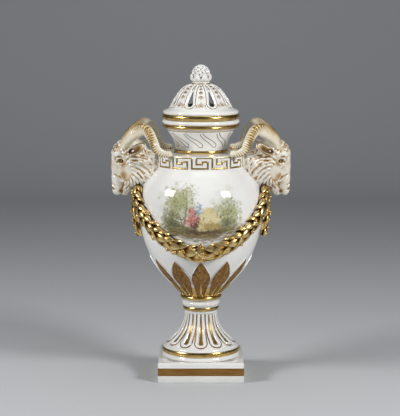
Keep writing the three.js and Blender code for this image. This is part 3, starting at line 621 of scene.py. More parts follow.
def lump(centre, size, lean=0.0, rows=7, columns=10):
    """A small closed egg, with its long axis upright and leaning outwards."""
    v, u = np.meshgrid(np.linspace(0.1, np.pi - 0.1, rows),
                       np.linspace(0, 2 * np.pi, columns, endpoint=False), indexing="ij")
    x, y, z = size[0] * np.sin(v) * np.cos(u), size[1] * np.sin(v) * np.sin(u), -size[2] * np.cos(v)
    x, z = x * np.cos(lean) + z * np.sin(lean), z * np.cos(lean) - x * np.sin(lean)
    angle, radius, height = centre
    radial, side = np.array([np.sin(angle), -np.cos(angle), 0]), np.array([np.cos(angle), np.sin(angle), 0])
    points = (x[..., None] * radial + y[..., None] * side + polar(angle, radius, height)).reshape(-1, 3)
    points[:, 2] += z.ravel()
    return points, grid_faces(rows, columns, wrap=True) + end_caps(rows, columns)


for k in range(CURLS):
    wobble = 0.25 * math.sin(2.6 * k)
    parts.append(lump((2 * math.pi * k / CURLS, 20.6 + 0.5 * wobble, 88.0 + wobble),
                      (1.0, 1.75 + wobble, 1.1), 0.5))
make_piece("calyx_ring_gold", *joined(parts), burnished_gold, "vase", "gilding", ["calyx_ring"], 60)

# %% [markdown]
# Twelve pointed leaves stand up round the bottom of the bowl. Each is moulded in low relief: a white
# raised edge, a dished face that is gilded and left matt, and a midrib. Smaller leaves show between their
# feet.

# %% Calyx leaves
LEAVES = 12
LEAF_STEP = 2 * math.pi / LEAVES
LEAF_LOW = float(bowl_outline.run_at(89.6))
LEAF_LONG = float(bowl_outline.run_at(130.4)) - LEAF_LOW
EDGE = 0.62  # width of the white edge, mm
WIDEST = 0.5  # share of the leaf's length


def leaf_half_width(v):
    """Half the width of a leaf, in mm, from its foot (0) to its tip (1). Low down the leaves touch."""
    full = LEAF_STEP / 2 * bowl_outline.radius(LEAF_LOW + np.minimum(v, WIDEST) * LEAF_LONG) - 0.12
    return full * (1 - np.clip((v - WIDEST) / (1 - WIDEST), 0, 1) ** 2.2)


v = np.linspace(0, 1, 50)
outer_half = np.clip(leaf_half_width(v), 0.12, None)
across = np.r_[-1, -0.97, np.linspace(-0.93, 0.93, 19), 0.97, 1]


def leaf_relief(x, half, v):
    """Height of a leaf's face over the bowl: a rounded edge, a dished face and a midrib."""
    inside = half - np.abs(x)
    lip = 1.35 * np.sqrt(np.clip(1 - ((inside - EDGE / 2) / (EDGE * 0.62)) ** 2, 0, 1))
    face = 0.55 + 0.35 * np.clip(inside / half.clip(1), 0, 1)
    rib = 0.35 * np.exp(-((x / 0.5) ** 2)) * (1 - v)
    return np.where(inside < EDGE, np.maximum(lip, 0.0), face + rib) * np.clip((1.02 - v) * 12, 0.3, 1)


gilt, ribs = [], []
for k in range(LEAVES):
    middle = k * LEAF_STEP
    x = across[None, :] * outer_half[:, None]
    run = LEAF_LOW + v[:, None] * LEAF_LONG + 0 * x
    angle = middle + x / bowl_outline.radius(run)
    height = leaf_relief(x, outer_half[:, None], v[:, None])
    leaf = skin(bowl_outline.place(angle, run, height), bowl_outline.place(angle, run, -0.3))
    node = f"calyx_leaf_{k + 1:02d}"
    make_piece(f"{node}_porcelain", *leaf, porcelain, "vase", "white_glaze", [node], 70)
    inner = np.clip(outer_half - EDGE, 0.02, None)
    keep = (outer_half - EDGE > 0.25) & (v < 0.985)
    x = np.linspace(-1, 1, 15)[None, :] * inner[keep, None]
    run = LEAF_LOW + v[keep, None] * LEAF_LONG + 0 * x
    angle = middle + x / bowl_outline.radius(run)
    height = leaf_relief(x * 0.999, outer_half[keep, None], v[keep, None])
    gilt.append(skin(bowl_outline.place(angle, run, height + 0.07),
                     bowl_outline.place(angle, run, height - 0.2)))
    low = np.linspace(0.03, 0.42, 16)[:, None]
    x = np.linspace(-1, 1, 5)[None, :] * (1.25 - 2.7 * low)
    run = LEAF_LOW + low * LEAF_LONG + 0 * x
    angle = middle + x / bowl_outline.radius(run)
    height = 1.25 + 0.4 * np.cos(1.2 * x) + 0 * low
    ribs.append(skin(bowl_outline.place(angle, run, height),
                     bowl_outline.place(angle, run, 0.4 + 0 * height)))
make_piece("calyx_leaves_gold", *joined(gilt), matt_gold, "vase", "gilding")
make_piece("calyx_ribs_gold", *joined(ribs), pale_gold, "vase", "gilding", sharp=60)

# %% Small leaves between the feet of the large ones
small = []
for k in range(LEAVES):
    v = np.linspace(0, 1, 16)
    half = np.clip(2.0 * np.sin(np.pi * (0.3 + 0.7 * v)) ** 0.8, 0.1, None)
    x = np.linspace(-1, 1, 9)[None, :] * half[:, None]
    run = LEAF_LOW - 0.6 + v[:, None] * 17.5 + 0 * x
    angle = (k + 0.5) * LEAF_STEP + x / bowl_outline.radius(run)
    height = 1.55 + 0.5 * (1 - (x / half[:, None]) ** 2) - 0.4 * np.exp(-((x / 0.4) ** 2)) - 0.6 * v[:, None]
    small.append(skin(bowl_outline.place(angle, run, height), bowl_outline.place(angle, run, 0 * height)))
make_piece("calyx_small_leaves_gold", *joined(small), pale_gold, "vase", "gilding", sharp=60)

# %% [markdown]
# The cover's rim and the rim of the neck are turned mouldings, gilded and white by turns. A thin lip
# stands out over the gilded one. Under it the spigot, which nobody sees until the cover is lifted, keeps
# the cover in the mouth.

# %% Mouldings of the neck and the cover
COVER_BASE, DOME_BASE, DOME_TOP, COLLAR_TOP = 273.0, 284.7, 309.0, 311.5
cover_bead = bulge(38.6, COVER_BASE + 0.2, 279.0, 2.0)
lip = [[38.9, 279.3], [39.5, 279.7], [39.7, 280.4], [39.4, 281.3], [37.6, 282.7], [36.2, 283.2],
       [34.6, 283.9],
       [33.2, 285.2], [30.5, 285.2], [30.5, 283.2]]
spigot = [[29.9, 281.5], [29.9, 264.3], [30.2, 263.9], [32.6, 263.9], [32.9, 264.3], [32.9, COVER_BASE]]
cover_ring = np.vstack([[[34.2, COVER_BASE]], cover_bead, lip, spigot])
make_piece("cover_rim_porcelain", *turned(cover_ring, 192), porcelain, "cover", "white_glaze", ["cover"], 50)
make_piece("cover_rim_gold", *gold_band(cover_bead[1:-1], 192), burnished_gold, "cover", "gilding", sharp=50)
rim_gold = [gold_band(bulge(38.3, NECK_TOP, RIM_SEAM, 2.0)[1:-1], 192),
            gold_band(neck_bead[1:-1], 160)]
make_piece("rim_gold", *joined(rim_gold), burnished_gold, "vase", "gilding", sharp=50)
make_piece("neck_line_gold", *gold_band(neck_line[-4:-2], 192), line_gold, "vase", "gilding", sharp=50)

# %% [markdown]
# The dome is pierced with eight drop-shaped slots that let the scent out. A raised border runs round each
# slot and on up to the top, and the panels between carry a chain of husks. Pierced porcelain is cut by
# hand in the leather hard clay, so the wall shows its thickness inside each slot. The grid of the mesh
# runs in rings round each slot, so that its edge is true to the outline.

# %% Dome: shape of the slots and the relief
SLOTS = 8
SLOT_STEP = 2 * math.pi / SLOTS
dome = Outline(bezier((33.4, DOME_BASE), (27.9, 292.5), (24.4, 306.6), (8.0, DOME_TOP), 100))
TOP = dome.run[-1]
SLOT_LOW, SLOT_HIGH = float(dome.run_at(287.6)) + 3.2, float(dome.run_at(303.0)) - 0.5
SLOT_WIDE, SLOT_NARROW = 3.15, 0.5
BORDER_WIDE, BORDER_NARROW, BORDER_HIGH = 4.65, 1.55, TOP - 3.6


def drop(x, y, low, high, wide, narrow):
    """Distance to a drop: a wide circle at its low end, a narrow one at its high end. Inside is negative."""
    x, y, h = np.abs(x), y - low, high - low
    b = (wide - narrow) / h
    a = math.sqrt(1 - b * b)
    k = -b * x + a * y
    side = a * x + b * y - wide
    return np.where(k < 0, np.hypot(x, y) - wide, np.where(k > a * h, np.hypot(x, y - h) - narrow, side))


def drop_outline(low, high, wide, narrow, grow=0.0, steps=(16, 22, 8)):
    """The same drop as a path, from its lowest point up the right side to its tip."""
    lean = math.asin((wide - narrow) / (high - low))
    a = np.linspace(-np.pi / 2, lean, steps[0] + 1)
    b = np.linspace(lean, np.pi / 2, steps[2] + 1)
    first = np.stack([(wide + grow) * np.cos(a), low + (wide + grow) * np.sin(a)], 1)
    last = np.stack([(narrow + grow) * np.cos(b), high + (narrow + grow) * np.sin(b)], 1)
    middle = first[-1] + (last[0] - first[-1]) * np.linspace(0, 1, steps[1] + 1)[1:-1, None]
    return np.vstack([first, middle, last])


def petal(x, y, at, turn, length, width, height):
    """A raised leaf that lies on the panel: its foot at a point, its tip at a length in some direction."""
    dx, dy = x - at[0], y - at[1]
    u = (dx * math.sin(turn) + dy * math.cos(turn)) / length
    w = dx * math.cos(turn) - dy * math.sin(turn)
    half = width * np.sin(np.pi * np.clip(u, 0, 1) ** 0.8) + 1e-3
    return np.where((u > 0) & (u < 1), height * np.sqrt(np.clip(1 - (w / half) ** 2, 0, 1)), 0)


PETALS = [(top, turn, length * size, 1.1 * size, 0.6 * size)
          for top, size in ((31.0, 0.55), (26.6, 0.7), (21.6, 0.85), (16.0, 1.0))
          for turn, length in ((math.pi, 4.6), (math.pi - 0.62, 3.9), (math.pi + 0.62, 3.9))]
PETALS += [(3.4, turn, length, 1.2, 0.65) for turn,
           length in ((0, 5.4), (0.75, 5.2), (-0.75, 5.2), (1.4, 5.4), (-1.4, 5.4))]


def panel_relief(x, y):
    """The chain of husks down the middle of a panel, with a fan of leaves at its foot."""
    h = np.zeros(np.broadcast(x, y).shape)
    for foot, turn, length, width, height in PETALS:
        h = np.maximum(h, petal(x, y, (0, foot), turn, length, width, height))
    for side in (-1, 1):
        curl = np.abs(np.hypot(x - side * 5.6, y - 3.6) - 1.7)
        h = np.maximum(h, 0.55 * np.sqrt(np.clip(1 - (curl / 0.6) ** 2, 0, 1)))
    return h


def dome_relief(angle, run):
    r = dome.radius(run)
    slot_x = (angle % SLOT_STEP - SLOT_STEP / 2) * r
    panel_x = ((angle + SLOT_STEP / 2) % SLOT_STEP - SLOT_STEP / 2) * r
    edge = drop(slot_x, run, SLOT_LOW, BORDER_HIGH, BORDER_WIDE, BORDER_NARROW)
    border = 0.95 * np.sqrt(np.clip(1 - (edge / 1.05) ** 2, 0, 1))
    groove = -0.8 * np.clip(-(edge + 0.9) / 0.9, 0, 1)
    outside = np.clip((edge - 1.2) / 0.8, 0, 1) * np.clip((TOP - 3 - run) / 3, 0, 1)
    return border + groove + outside * panel_relief(panel_x, run)


# %% Dome: mesh in rings round the slots
def weld(points, faces, grain=1e-3):
    """Joins points that lie on each other, and drops the faces that this closes up."""
    keys = np.round(np.asarray(points) / grain).astype(np.int64)
    _, first, index = np.unique(keys, axis=0, return_index=True, return_inverse=True)
    index = index.ravel()
    joined_faces = []
    for face in faces:
        loop = [int(index[i]) for i in face]
        loop = [a for a, b in zip(loop, loop[1:] + loop[:1]) if a != b]
        if len(set(loop)) == len(loop) > 2:
            joined_faces.append(loop)
    return np.asarray(points)[first], joined_faces


def dome_sector(middle, rings=34, under_rings=5, wall=2.9):
    """One slot with the panel halves beside it: outer face, inner face and the wall of the slot."""
    right = drop_outline(SLOT_LOW, SLOT_HIGH, SLOT_WIDE, SLOT_NARROW)
    n = len(right) - 1
    low_end, high_start = 14, n - 8
    t = np.arange(n + 1)
    half = SLOT_STEP / 2
    edge_angle = np.interp(t, [0, low_end, high_start, n], [0, half, half, 0])
    edge_run = np.interp(t, [0, low_end, high_start, n], [0, 0, TOP, TOP])
    slot = np.vstack([right, right[-2:0:-1] * [-1, 1]])
    edge = np.vstack([np.stack([edge_angle, edge_run], 1), np.stack([-edge_angle, edge_run], 1)[-2:0:-1]])
    slot_angle = slot[:, 0] / dome.radius(slot[:, 1])

    def layer(steps, power):
        s = np.linspace(0, 1, steps + 1)[:, None] ** power
        return middle + slot_angle * (1 - s) + edge[:, 0] * s, slot[:, 1] * (1 - s) + edge[:, 1] * s

    angle, run = layer(rings, 1.15)
    outer = dome.place(angle, run, dome_relief(angle, run))
    rim = dome.place(angle[0], run[0], dome_relief(angle[0], run[0]) - 0.5)
    angle, run = layer(under_rings, 1.0)
    inner = dome.place(angle, run, np.full_like(run, -wall))
    count = len(slot)
    grid = np.vstack([inner[::-1], rim[None], outer])
    faces = grid_faces(len(grid), count, wrap=True)
    last = (len(grid) - 1) * count
    for j in range(count):
        k = (j + 1) % count
        if edge[j, 1] == edge[k, 1] and edge[j, 1] in (0, TOP):
            faces.append([last + j, last + k, k, j])
    return grid.reshape(-1, 3), faces


points, faces = weld(*joined([dome_sector((k + 0.5) * SLOT_STEP) for k in range(SLOTS)]))
faces = [face[::-1] for face in faces]
dome_piece = make_piece("dome_porcelain", points, faces, tinted_and_shaded_porcelain, "cover", "tinted_glaze")
angle, radius = np.arctan2(points[:, 0], -points[:, 1]), np.hypot(points[:, 0], points[:, 1])
run = dome.run_at(points[:, 2])
panel_x = ((angle + SLOT_STEP / 2) % SLOT_STEP - SLOT_STEP / 2) * radius
slot_x = (angle % SLOT_STEP - SLOT_STEP / 2) * radius
raised = panel_relief(panel_x, run)
on_panel = drop(slot_x, run, SLOT_LOW, BORDER_HIGH, BORDER_WIDE, BORDER_NARROW) > 1.0
# The husks are tinted brown, darkest at their low edges.
paint_recess(dome_piece, np.where(on_panel & (raised > 0.02), 0.86 - 0.7 * raised, 0.24))

# %% [markdown]
# Fine dark gold follows the outside of each border and the edge of each slot, and outlines the husks. A
# white collar with one gilt line closes the dome under the finial.

# %% Gold on the dome
lines = []
for k in range(SLOTS):
    middle = (k + 0.5) * SLOT_STEP
    for grow, width in ((1.3, 0.55), (-1.15, 0.4)):
        right = drop_outline(SLOT_LOW, BORDER_HIGH, BORDER_WIDE, BORDER_NARROW, grow)
        if grow < 0:
            right = right[right[:, 1] > SLOT_HIGH + 1.2]
        other = right * [-1, 1]
        path = np.vstack([other[::-1], right[1:]] if grow > 0 else [right, other[-2::-1]])
        path = path[path[:, 1] > 0.5]
        grid = brush_line(path, width, step=0.6)
        lines.append(laid_on(dome, grid, middle, dome_relief, lift=0.05))
make_piece("dome_line_gold", *joined(lines), shaded_gold, "cover", "gilding")

outlines = []
u = np.linspace(0.03, 0.97, 9)
there_and_back = np.r_[u, u[::-1]]
for k in range(SLOTS):
    for foot, turn, length, width, height in PETALS:
        half = width * np.sin(np.pi * u**0.8)
        w = np.r_[half, -half[::-1]]
        path = np.stack([there_and_back * length * math.sin(turn) + w * math.cos(turn),
                         foot + there_and_back * length * math.cos(turn) - w * math.sin(turn)], 1)
        grid = brush_line(path, 0.34, across=1, step=0.9)
        outlines.append(laid_on(dome, grid, k * SLOT_STEP, dome_relief, lift=0.05))
make_piece("dome_husk_gold", *joined(outlines), shaded_gold, "cover", "gilding")
print("husks outlined:", len(outlines), "leaves")
top_bead = bulge(8.5, DOME_TOP - 0.6, COLLAR_TOP, 0.8)
collar = np.vstack([top_bead, [[5.2, COLLAR_TOP], [5.2, DOME_TOP - 0.6]]])
make_piece("dome_collar_porcelain", *turned(collar, 96), porcelain, "cover", "white_glaze", sharp=50)
make_piece("dome_collar_gold", *gold_band(top_bead[4:7], 96), line_gold, "cover", "gilding", sharp=50)

# %% [markdown]
# The finial is a ball of small flowers over a ruff of leaves. The flowers were pressed one by one and
# stuck on close together, with a touch of dark gold in the gaps. The places come from a spiral that
# spreads points evenly over a ball.

# %% Finial
FINIAL_BASE, BALL_RADIUS, BALL_CENTRE = 311.5, 8.4, 319.9
stem = np.array([[8.2, FINIAL_BASE], [8.0, 313.0], [8.0, 318.0], [0.4, 318.0], [0.4, FINIAL_BASE]])
parts = [turned(stem, 48)]
for k in range(8):
    v, u = np.meshgrid(np.linspace(0, 1, 14), np.linspace(-1, 1, 11), indexing="ij")
    line = bezier((8.4, 311.7), (10.6, 312.2), (12.6, 314.6), (11.3, 318.6), 13)
    half = 4.6 * np.sin(np.pi * (0.2 + 0.76 * v)) ** 0.6
    angle = (k + 0.5) * np.pi / 4 + u * half / np.repeat(line[:, :1], 11, 1)
    face = line[:, None, :] + np.stack([-0.5 * u**2 + 0.25 * np.cos(6 * u) * v, 0.7 * (1 - u**2) * v], -1)
    top = polar(angle, face[..., 0], face[..., 1])
    under = polar(angle, face[..., 0] - 1.1, face[..., 1] + 0.35)
    parts.append(skin(top, under))
cup = make_piece("finial_leaves_porcelain", *joined(parts), tinted_and_shaded_porcelain, "cover", "tinted_glaze",
                 ["finial_cup"], 70)
height = np.array([point.co.z for point in cup.data.vertices]) / MM
# The leaves are darker towards their foot.
paint_recess(cup, 0.5 - 0.05 * (height - FINIAL_BASE))


def spiral_on_ball(count):
    i = np.arange(count) + 0.5
    height = 1 - 2 * i / count
    turn = np.pi * (1 + 5**0.5) * i
    return np.stack([np.sqrt(1 - height**2) * np.cos(turn), np.sqrt(1 - height**2) * np.sin(turn), height], 1)


def flower(out, at, radius):
    """A five-petalled bud that faces outwards."""
    side = np.cross(out, [0.3, 0.1, 1.0])
    side /= np.linalg.norm(side)
    up = np.cross(out, side)
    rings, columns = 6, 20
    a = np.linspace(0, 2 * np.pi, columns, endpoint=False)
    spokes = np.cos(a)[:, None] * side + np.sin(a)[:, None] * up
    points = []
    for i in range(rings):
        s = i / (rings - 1)
        r = radius * math.sin(math.pi * (0.04 + 0.5 * s)) * (1 + 0.16 * s * np.cos(5 * a))
        h = radius * (0.95 * math.cos(math.pi * 0.5 * s) ** 0.8 if s < 1 else 0)
        h = h - 0.5 * radius * max(0.0, 1 - 3.2 * s) + 0 * a
        points.append(at + r[:, None] * spokes + h[:, None] * out)
    base = at - 0.8 * out + 0.6 * radius * spokes
    faces = grid_faces(rings + 1, columns, wrap=True) + end_caps(rings + 1, columns)
    return np.vstack([base] + points[::-1]), faces


ball = polar(np.linspace(0, 2 * np.pi, 40, endpoint=False)[None, :],
             (BALL_RADIUS * np.sin(np.linspace(0.05, np.pi - 0.05, 20)))[:, None],
             (BALL_CENTRE - BALL_RADIUS * np.cos(np.linspace(0.05, np.pi - 0.05, 20)))[:, None])
parts = [(ball.reshape(-1, 3), grid_faces(20, 40, wrap=True) + end_caps(20, 40))]
centre = np.array([0, 0, BALL_CENTRE])
places = [out for out in spiral_on_ball(74) if out[2] > -0.62]
print(len(places), "buds")
parts += [flower(out, centre + (BALL_RADIUS - 0.25) * out, 1.8) for out in places]
make_piece("finial_flowers_porcelain", *joined(parts), porcelain, "cover", "tinted_glaze", ["finial_buds"],
           70)
specks = []
for a, b, c in zip(places, places[8:], places[13:]):
    gap = a + b + c
    gap /= np.linalg.norm(gap)
    at = centre + (BALL_RADIUS + 0.35) * gap
    spot = math.atan2(at[0], -at[1]), math.hypot(at[0], at[1]), at[2]
    specks.append(lump(spot, (0.5, 0.5, 0.5), 0, 5, 8))
make_piece("finial_specks_gold", *joined(specks), shaded_gold, "cover", "gilding")

# %% [markdown]
# Ram's horns grow thick from the poll, arch over, and come down to the shoulder, where their blunt tips
# lie against the neck. A horn is a line through space with a section that follows it. The section is a
# soft triangle. Its keel starts on the outside of the curl and rolls over to the near side and then
# inwards as the horn comes down. The growth ribs are shallow notches, deepest at the keel.

# %% Helper: lines through space and what is swept along them
HEAD_X, HEAD_Z = 66.0, 222.9


def smooth_line(points, steps):
    """A Catmull-Rom curve through points, with even steps."""
    p = np.asarray(points, float)
    p = np.vstack([2 * p[0] - p[1], p, 2 * p[-1] - p[-2]])
    t = np.linspace(0, 1, 24, endpoint=False)[:, None]
    parts = [0.5 * (2 * b + (c - a) * t + (2 * a - 5 * b + 4 * c - d) * t**2 + (3 * b - a - 3 * c + d) * t**3)
             for a, b, c, d in zip(p, p[1:], p[2:], p[3:])]
    line = np.vstack(parts + [p[-2:-1]])
    run = np.r_[0, np.cumsum(np.linalg.norm(np.diff(line, axis=0), axis=1))]
    even = np.linspace(0, run[-1], steps)
    return np.stack([np.interp(even, run, line[:, i]) for i in range(3)], 1), run[-1]


def unit(vectors):
    return vectors / np.linalg.norm(vectors, axis=-1, keepdims=True)


def mirrored(points, side):
    """The right-hand piece for side 1; turned half round the vase's axis for side -1."""
    return np.asarray(points) * [side, side, 1]


def horn_line(sign):
    outward = [(13.5, 7.4, 20.5), (9.0, 15.6, 29.6), (-1.4, 27.6, 38.4), (-8.8, 36.2, 42.2),
               (-13.5, 40.0, 37.2),
               (-16.6, 41.0, 30.6), (-21.7, 40.5, 21.3), (-29.6, 38.8, 17.2), (-36.2, 36.0, 16.2)]
    return smooth_line([(HEAD_X + x, sign * y, HEAD_Z + z) for x, y, z in outward], 220)


RIB_PITCH = 2.2
# The horn's radius, and the roll of its keel in degrees, by the share of its length
HORN_RADII = [(0.0, 6.0), (0.12, 6.5), (0.3, 7.0), (0.42, 6.8), (0.55, 6.1), (0.7, 5.2), (0.85, 4.2),
              (1.0, 3.3)]
KEEL_ROLL = [(0.0, 0), (0.38, 0), (0.47, 30), (0.55, 66), (0.62, 92), (0.7, 114), (0.8, 136), (1.0, 150)]


def horn(sign):
    line, length = horn_line(sign)
    along = unit(np.gradient(line, axis=0))
    t = np.linspace(0, 1, len(line))[:, None]
    centre = np.array([HEAD_X - 8, sign * 26, HEAD_Z + 16])
    outside = line - centre
    flank = np.array([0.0, sign, 0.0]) + 0 * line
    roll = np.interp(t[:, 0], *zip(*KEEL_ROLL))
    soft = np.hanning(33) / np.hanning(33).sum()
    swing = np.radians(np.convolve(np.pad(roll, 16, mode="edge"), soft, "valid"))[:, None]
    keel = np.cos(swing) * unit(outside) + np.sin(swing) * flank
    keel = unit(keel - np.sum(keel * along, 1, keepdims=True) * along)
    side = np.cross(along, keel)
    around = np.linspace(0, 2 * np.pi, 48, endpoint=False)[None, :]
    end = np.clip((1 - t) / 0.035, 0, 1)
    radius = np.interp(t, *zip(*HORN_RADII)) * np.sqrt(end * (2 - end))
    section = 0.95 + 0.13 * np.cos(3 * around) + 0.07 * np.cos(around)
    phase = (t * length / RIB_PITCH + 0.12 * np.cos(around)) % 1
    near_keel = np.clip(np.cos(around), 0, 1)
    notch = np.clip(1 - np.abs(phase - 0.5) / 0.24, 0, 1) * (0.42 + 0.58 * near_keel**0.5)
    r = (radius * section - 0.5 * notch * np.clip(radius / 3, 0, 1)).clip(0.05)
    points = line[:, None] + r[..., None] * (np.cos(around)[..., None] * keel[:, None]
                                             + 0.92 * np.sin(around)[..., None] * side[:, None])
    rows, columns = points.shape[:2]
    faces = grid_faces(rows, columns, wrap=True) + end_caps(rows, columns)
    # Painted shade in the rib notches, and the horn browns towards its keel.
    notch_shade_and_tint = 0.35 + 0.40 * notch + 0.25 * near_keel**4 + 0 * t
    crest = line + (r[:, :1] + 0.06) * keel
    strip = [crest + offset * side - drop_in * keel for offset,
             drop_in in ((-0.6, 0.16), (0.0, 0.0), (0.6, 0.16))]
    root = [p - 0.5 * keel for p in strip]
    gold = skin(np.stack(strip, 1)[6:-8], np.stack(root, 1)[6:-8])
    return points.reshape(-1, 3), faces, notch_shade_and_tint.ravel(), gold


for side, side_name in ((1, "right"), (-1, "left")):
    keels = []
    for sign, place_name in ((-side, "front"), (side, "back")):
        points, faces, notch_shade_and_tint, gold = horn(sign)
        node = f"horn_{side_name}_{place_name}"
        piece = make_piece(f"{node}_porcelain", mirrored(points, side), faces, horn_porcelain, "vase",
                           "tinted_glaze", [node])
        paint_recess(piece, notch_shade_and_tint)
        keels.append((mirrored(gold[0], side), gold[1]))
    make_piece(f"horns_{side_name}_gold", *joined(keels), line_gold, "vase", "gilding")

# %% [markdown]
# Laurel swags hang between the heads, front and back, and a short tail hangs under each head. Each is a
# rope with leaves laid along it in rows, their tips lifted and spread to both sides, and berries pushed
# in between. A leaf has a groove down its middle and fine veins. Every leaf was shaped by hand and stuck
# on, so no two lie quite alike. The gold is burnished on the leaves, and the gaps are dark with painted
# shade: a dark gold core under the leaves, and leaves that darken towards their feet, grooves and edges.

# %% Laurel
rng = np.random.default_rng(8)
LEAF_LENGTH, LEAF_WIDTH, BERRY = 13.6, 9.8, 1.7


def on_bowl(angle, height, out):
    return bowl_outline.place(angle, bowl_outline.run_at(height), out)


class Rope:
    """A line that lies on the bowl, with a round section flattened against it."""

    def __init__(self, angle, height, radius, stand_off=3.0, depth=0.78):
        self.line = on_bowl(angle, height, stand_off)
        self.out = unit(on_bowl(angle, height, stand_off + 1) - self.line)
        self.run = np.r_[0, np.cumsum(np.linalg.norm(np.diff(self.line, axis=0), axis=1))]
        self.along = unit(np.gradient(self.line, axis=0))
        self.side = np.cross(self.along, self.out)
        self.radius, self.depth = radius, depth

    def place(self, run, turn, lift):
        """A point at a distance along, an angle from straight out, and a height over the rope's surface."""
        run, turn, lift = np.broadcast_arrays(run, turn, lift)
        pick = lambda table: np.stack([np.interp(run, self.run, table[:, i]) for i in range(3)], -1)
        r = np.interp(run, self.run, self.radius) + lift
        return pick(self.line) + r[..., None] * (self.depth * np.cos(turn)[..., None] * pick(self.out)
                                                + np.sin(turn)[..., None] * pick(self.side))


def laurel_leaf(rope, run, turn, towards, size=1.0, rise=2.1):
    u, w = np.meshgrid(np.linspace(0, 1, 19), np.linspace(-1, 1, 13), indexing="ij")
    bend = 0.42 * turn + rng.uniform(-0.22, 0.22)
    half = size * LEAF_WIDTH / 2 * np.sin(np.pi * (0.1 + 0.9 * u) ** 0.9) ** 0.75 + 0.12
    vein = np.sin(2 * np.pi * (5 * u - 1.6 * np.abs(w)))
    lift = -2.5 + rise * u + (1.0 + 0.7 * (1 - w**2)) * np.sin(np.pi * u) - 0.3 * np.abs(w)
    lift += rng.uniform(-0.3, 0.3)
    lift += (0.13 * vein * np.abs(w) * (1 - w**4) - 0.3 * np.exp(-((w / 0.13) ** 2))) * np.sin(np.pi * u)
    lift += 0.35 * w * rng.uniform(-1, 1) * u
    radius = float(np.interp(run, rope.run, rope.radius))
    where = run + towards * (u - 0.35) * LEAF_LENGTH * size
    around = turn + (w * half + bend * LEAF_LENGTH * (u - 0.5)) / radius
    top, under = rope.place(where, around, lift), rope.place(where, around, lift - 0.8)
    # Painted shade: each leaf darkens towards its foot, in its middle groove and at its edges, where it lies
    # under its neighbours.
    low = np.clip(0.85 - 1.7 * u, 0,
                  0.7) + 0.22 * np.exp(-((w / 0.12) ** 2)) + 0.26 * np.abs(w) ** 6 - 0.05 * vein
    low = low.clip(0, 1)
    order = slice(None, None, 1 if towards > 0 else -1)
    return *skin(top[order], under[order]), np.tile(low[order].ravel(), 2)


def berry(centre, radius):
    v, u = np.meshgrid(np.linspace(0.1, np.pi - 0.1, 9), np.linspace(0, 2 * np.pi, 12, endpoint=False),
                       indexing="ij")
    points = np.stack([np.sin(v) * np.cos(u), np.sin(v) * np.sin(u), -np.cos(v)], -1).reshape(-1, 3)
    faces = grid_faces(9, 12, wrap=True) + end_caps(9, 12)
    return centre + radius * points, faces, np.full(len(points), rng.uniform(0, 0.3))


def laurel(rope, start, stop, towards, turns, pitch=8.2):
    """Rows of leaves and berries from a start to a stop along a rope."""
    leaves, berries = [], []
    rows = np.arange(start, stop, pitch)
    for i, run in enumerate(rows):
        for j, turn in enumerate(turns):
            stagger = (i % 2 - 0.5) * (turns[1] - turns[0]) / 2
            size = rng.uniform(0.88, 1.1)
            where = run + rng.uniform(-0.9, 0.9)
            leaves.append(laurel_leaf(rope, where, turn + stagger + rng.uniform(-0.1, 0.1), towards, size))
        turn = rng.uniform(turns[0], turns[-1])
        for k in range(rng.integers(1, 4)):
            along = run + pitch / 2 + rng.uniform(-2.2, 2.2)
            at = rope.place(along, turn + rng.uniform(-0.3, 0.3), rng.uniform(-0.6, 0.2))
            berries.append(berry(at, BERRY * rng.uniform(0.8, 1.05)))
    return leaves, berries


def pressed(points, axis, start, reach, limit):
    """Presses what stands out beyond a start softly back, so that its reach comes to lie at a limit."""
    points = np.array(points, float)
    beyond = (np.abs(points[:, axis]) - start).clip(0) / (reach - start)
    points[:, axis] -= np.sign(points[:, axis]) * (reach - limit) * beyond**2
    return points


def pressed_swag(points):
    """The front of a swag lies flatter, inside the vase's own depth of 67.1 mm from the axis."""
    return pressed(points, 1, 58.0, 70.6, 67.0)


def make_laurel(name, parts, stands_for=(), sharp=None):
    """Leaves or berries as one piece, with the painted shade of each."""
    points, faces = joined([part[:2] for part in parts])
    piece = make_piece(name, pressed_swag(points), faces, laurel_gold_with_painted_shade, "vase", "gilding", stands_for, sharp)
    paint_recess(piece, np.concatenate([part[2] for part in parts]))


# The rope's core in dark gold shows between the leaves as painted shade.
def rope_core(rope, start, stop, inset=3.1):
    run = np.linspace(start, stop, 60)[:, None]
    turn = np.linspace(-1.6, 1.6, 17)[None, :]
    back = rope.place(run, turn * 0.55, -rope.radius.mean() + 0 * run * turn)
    face = rope.place(run, turn, -inset - 0.35 * np.sin(run * 1.3) * np.cos(4 * turn))
    return skin(face, back)


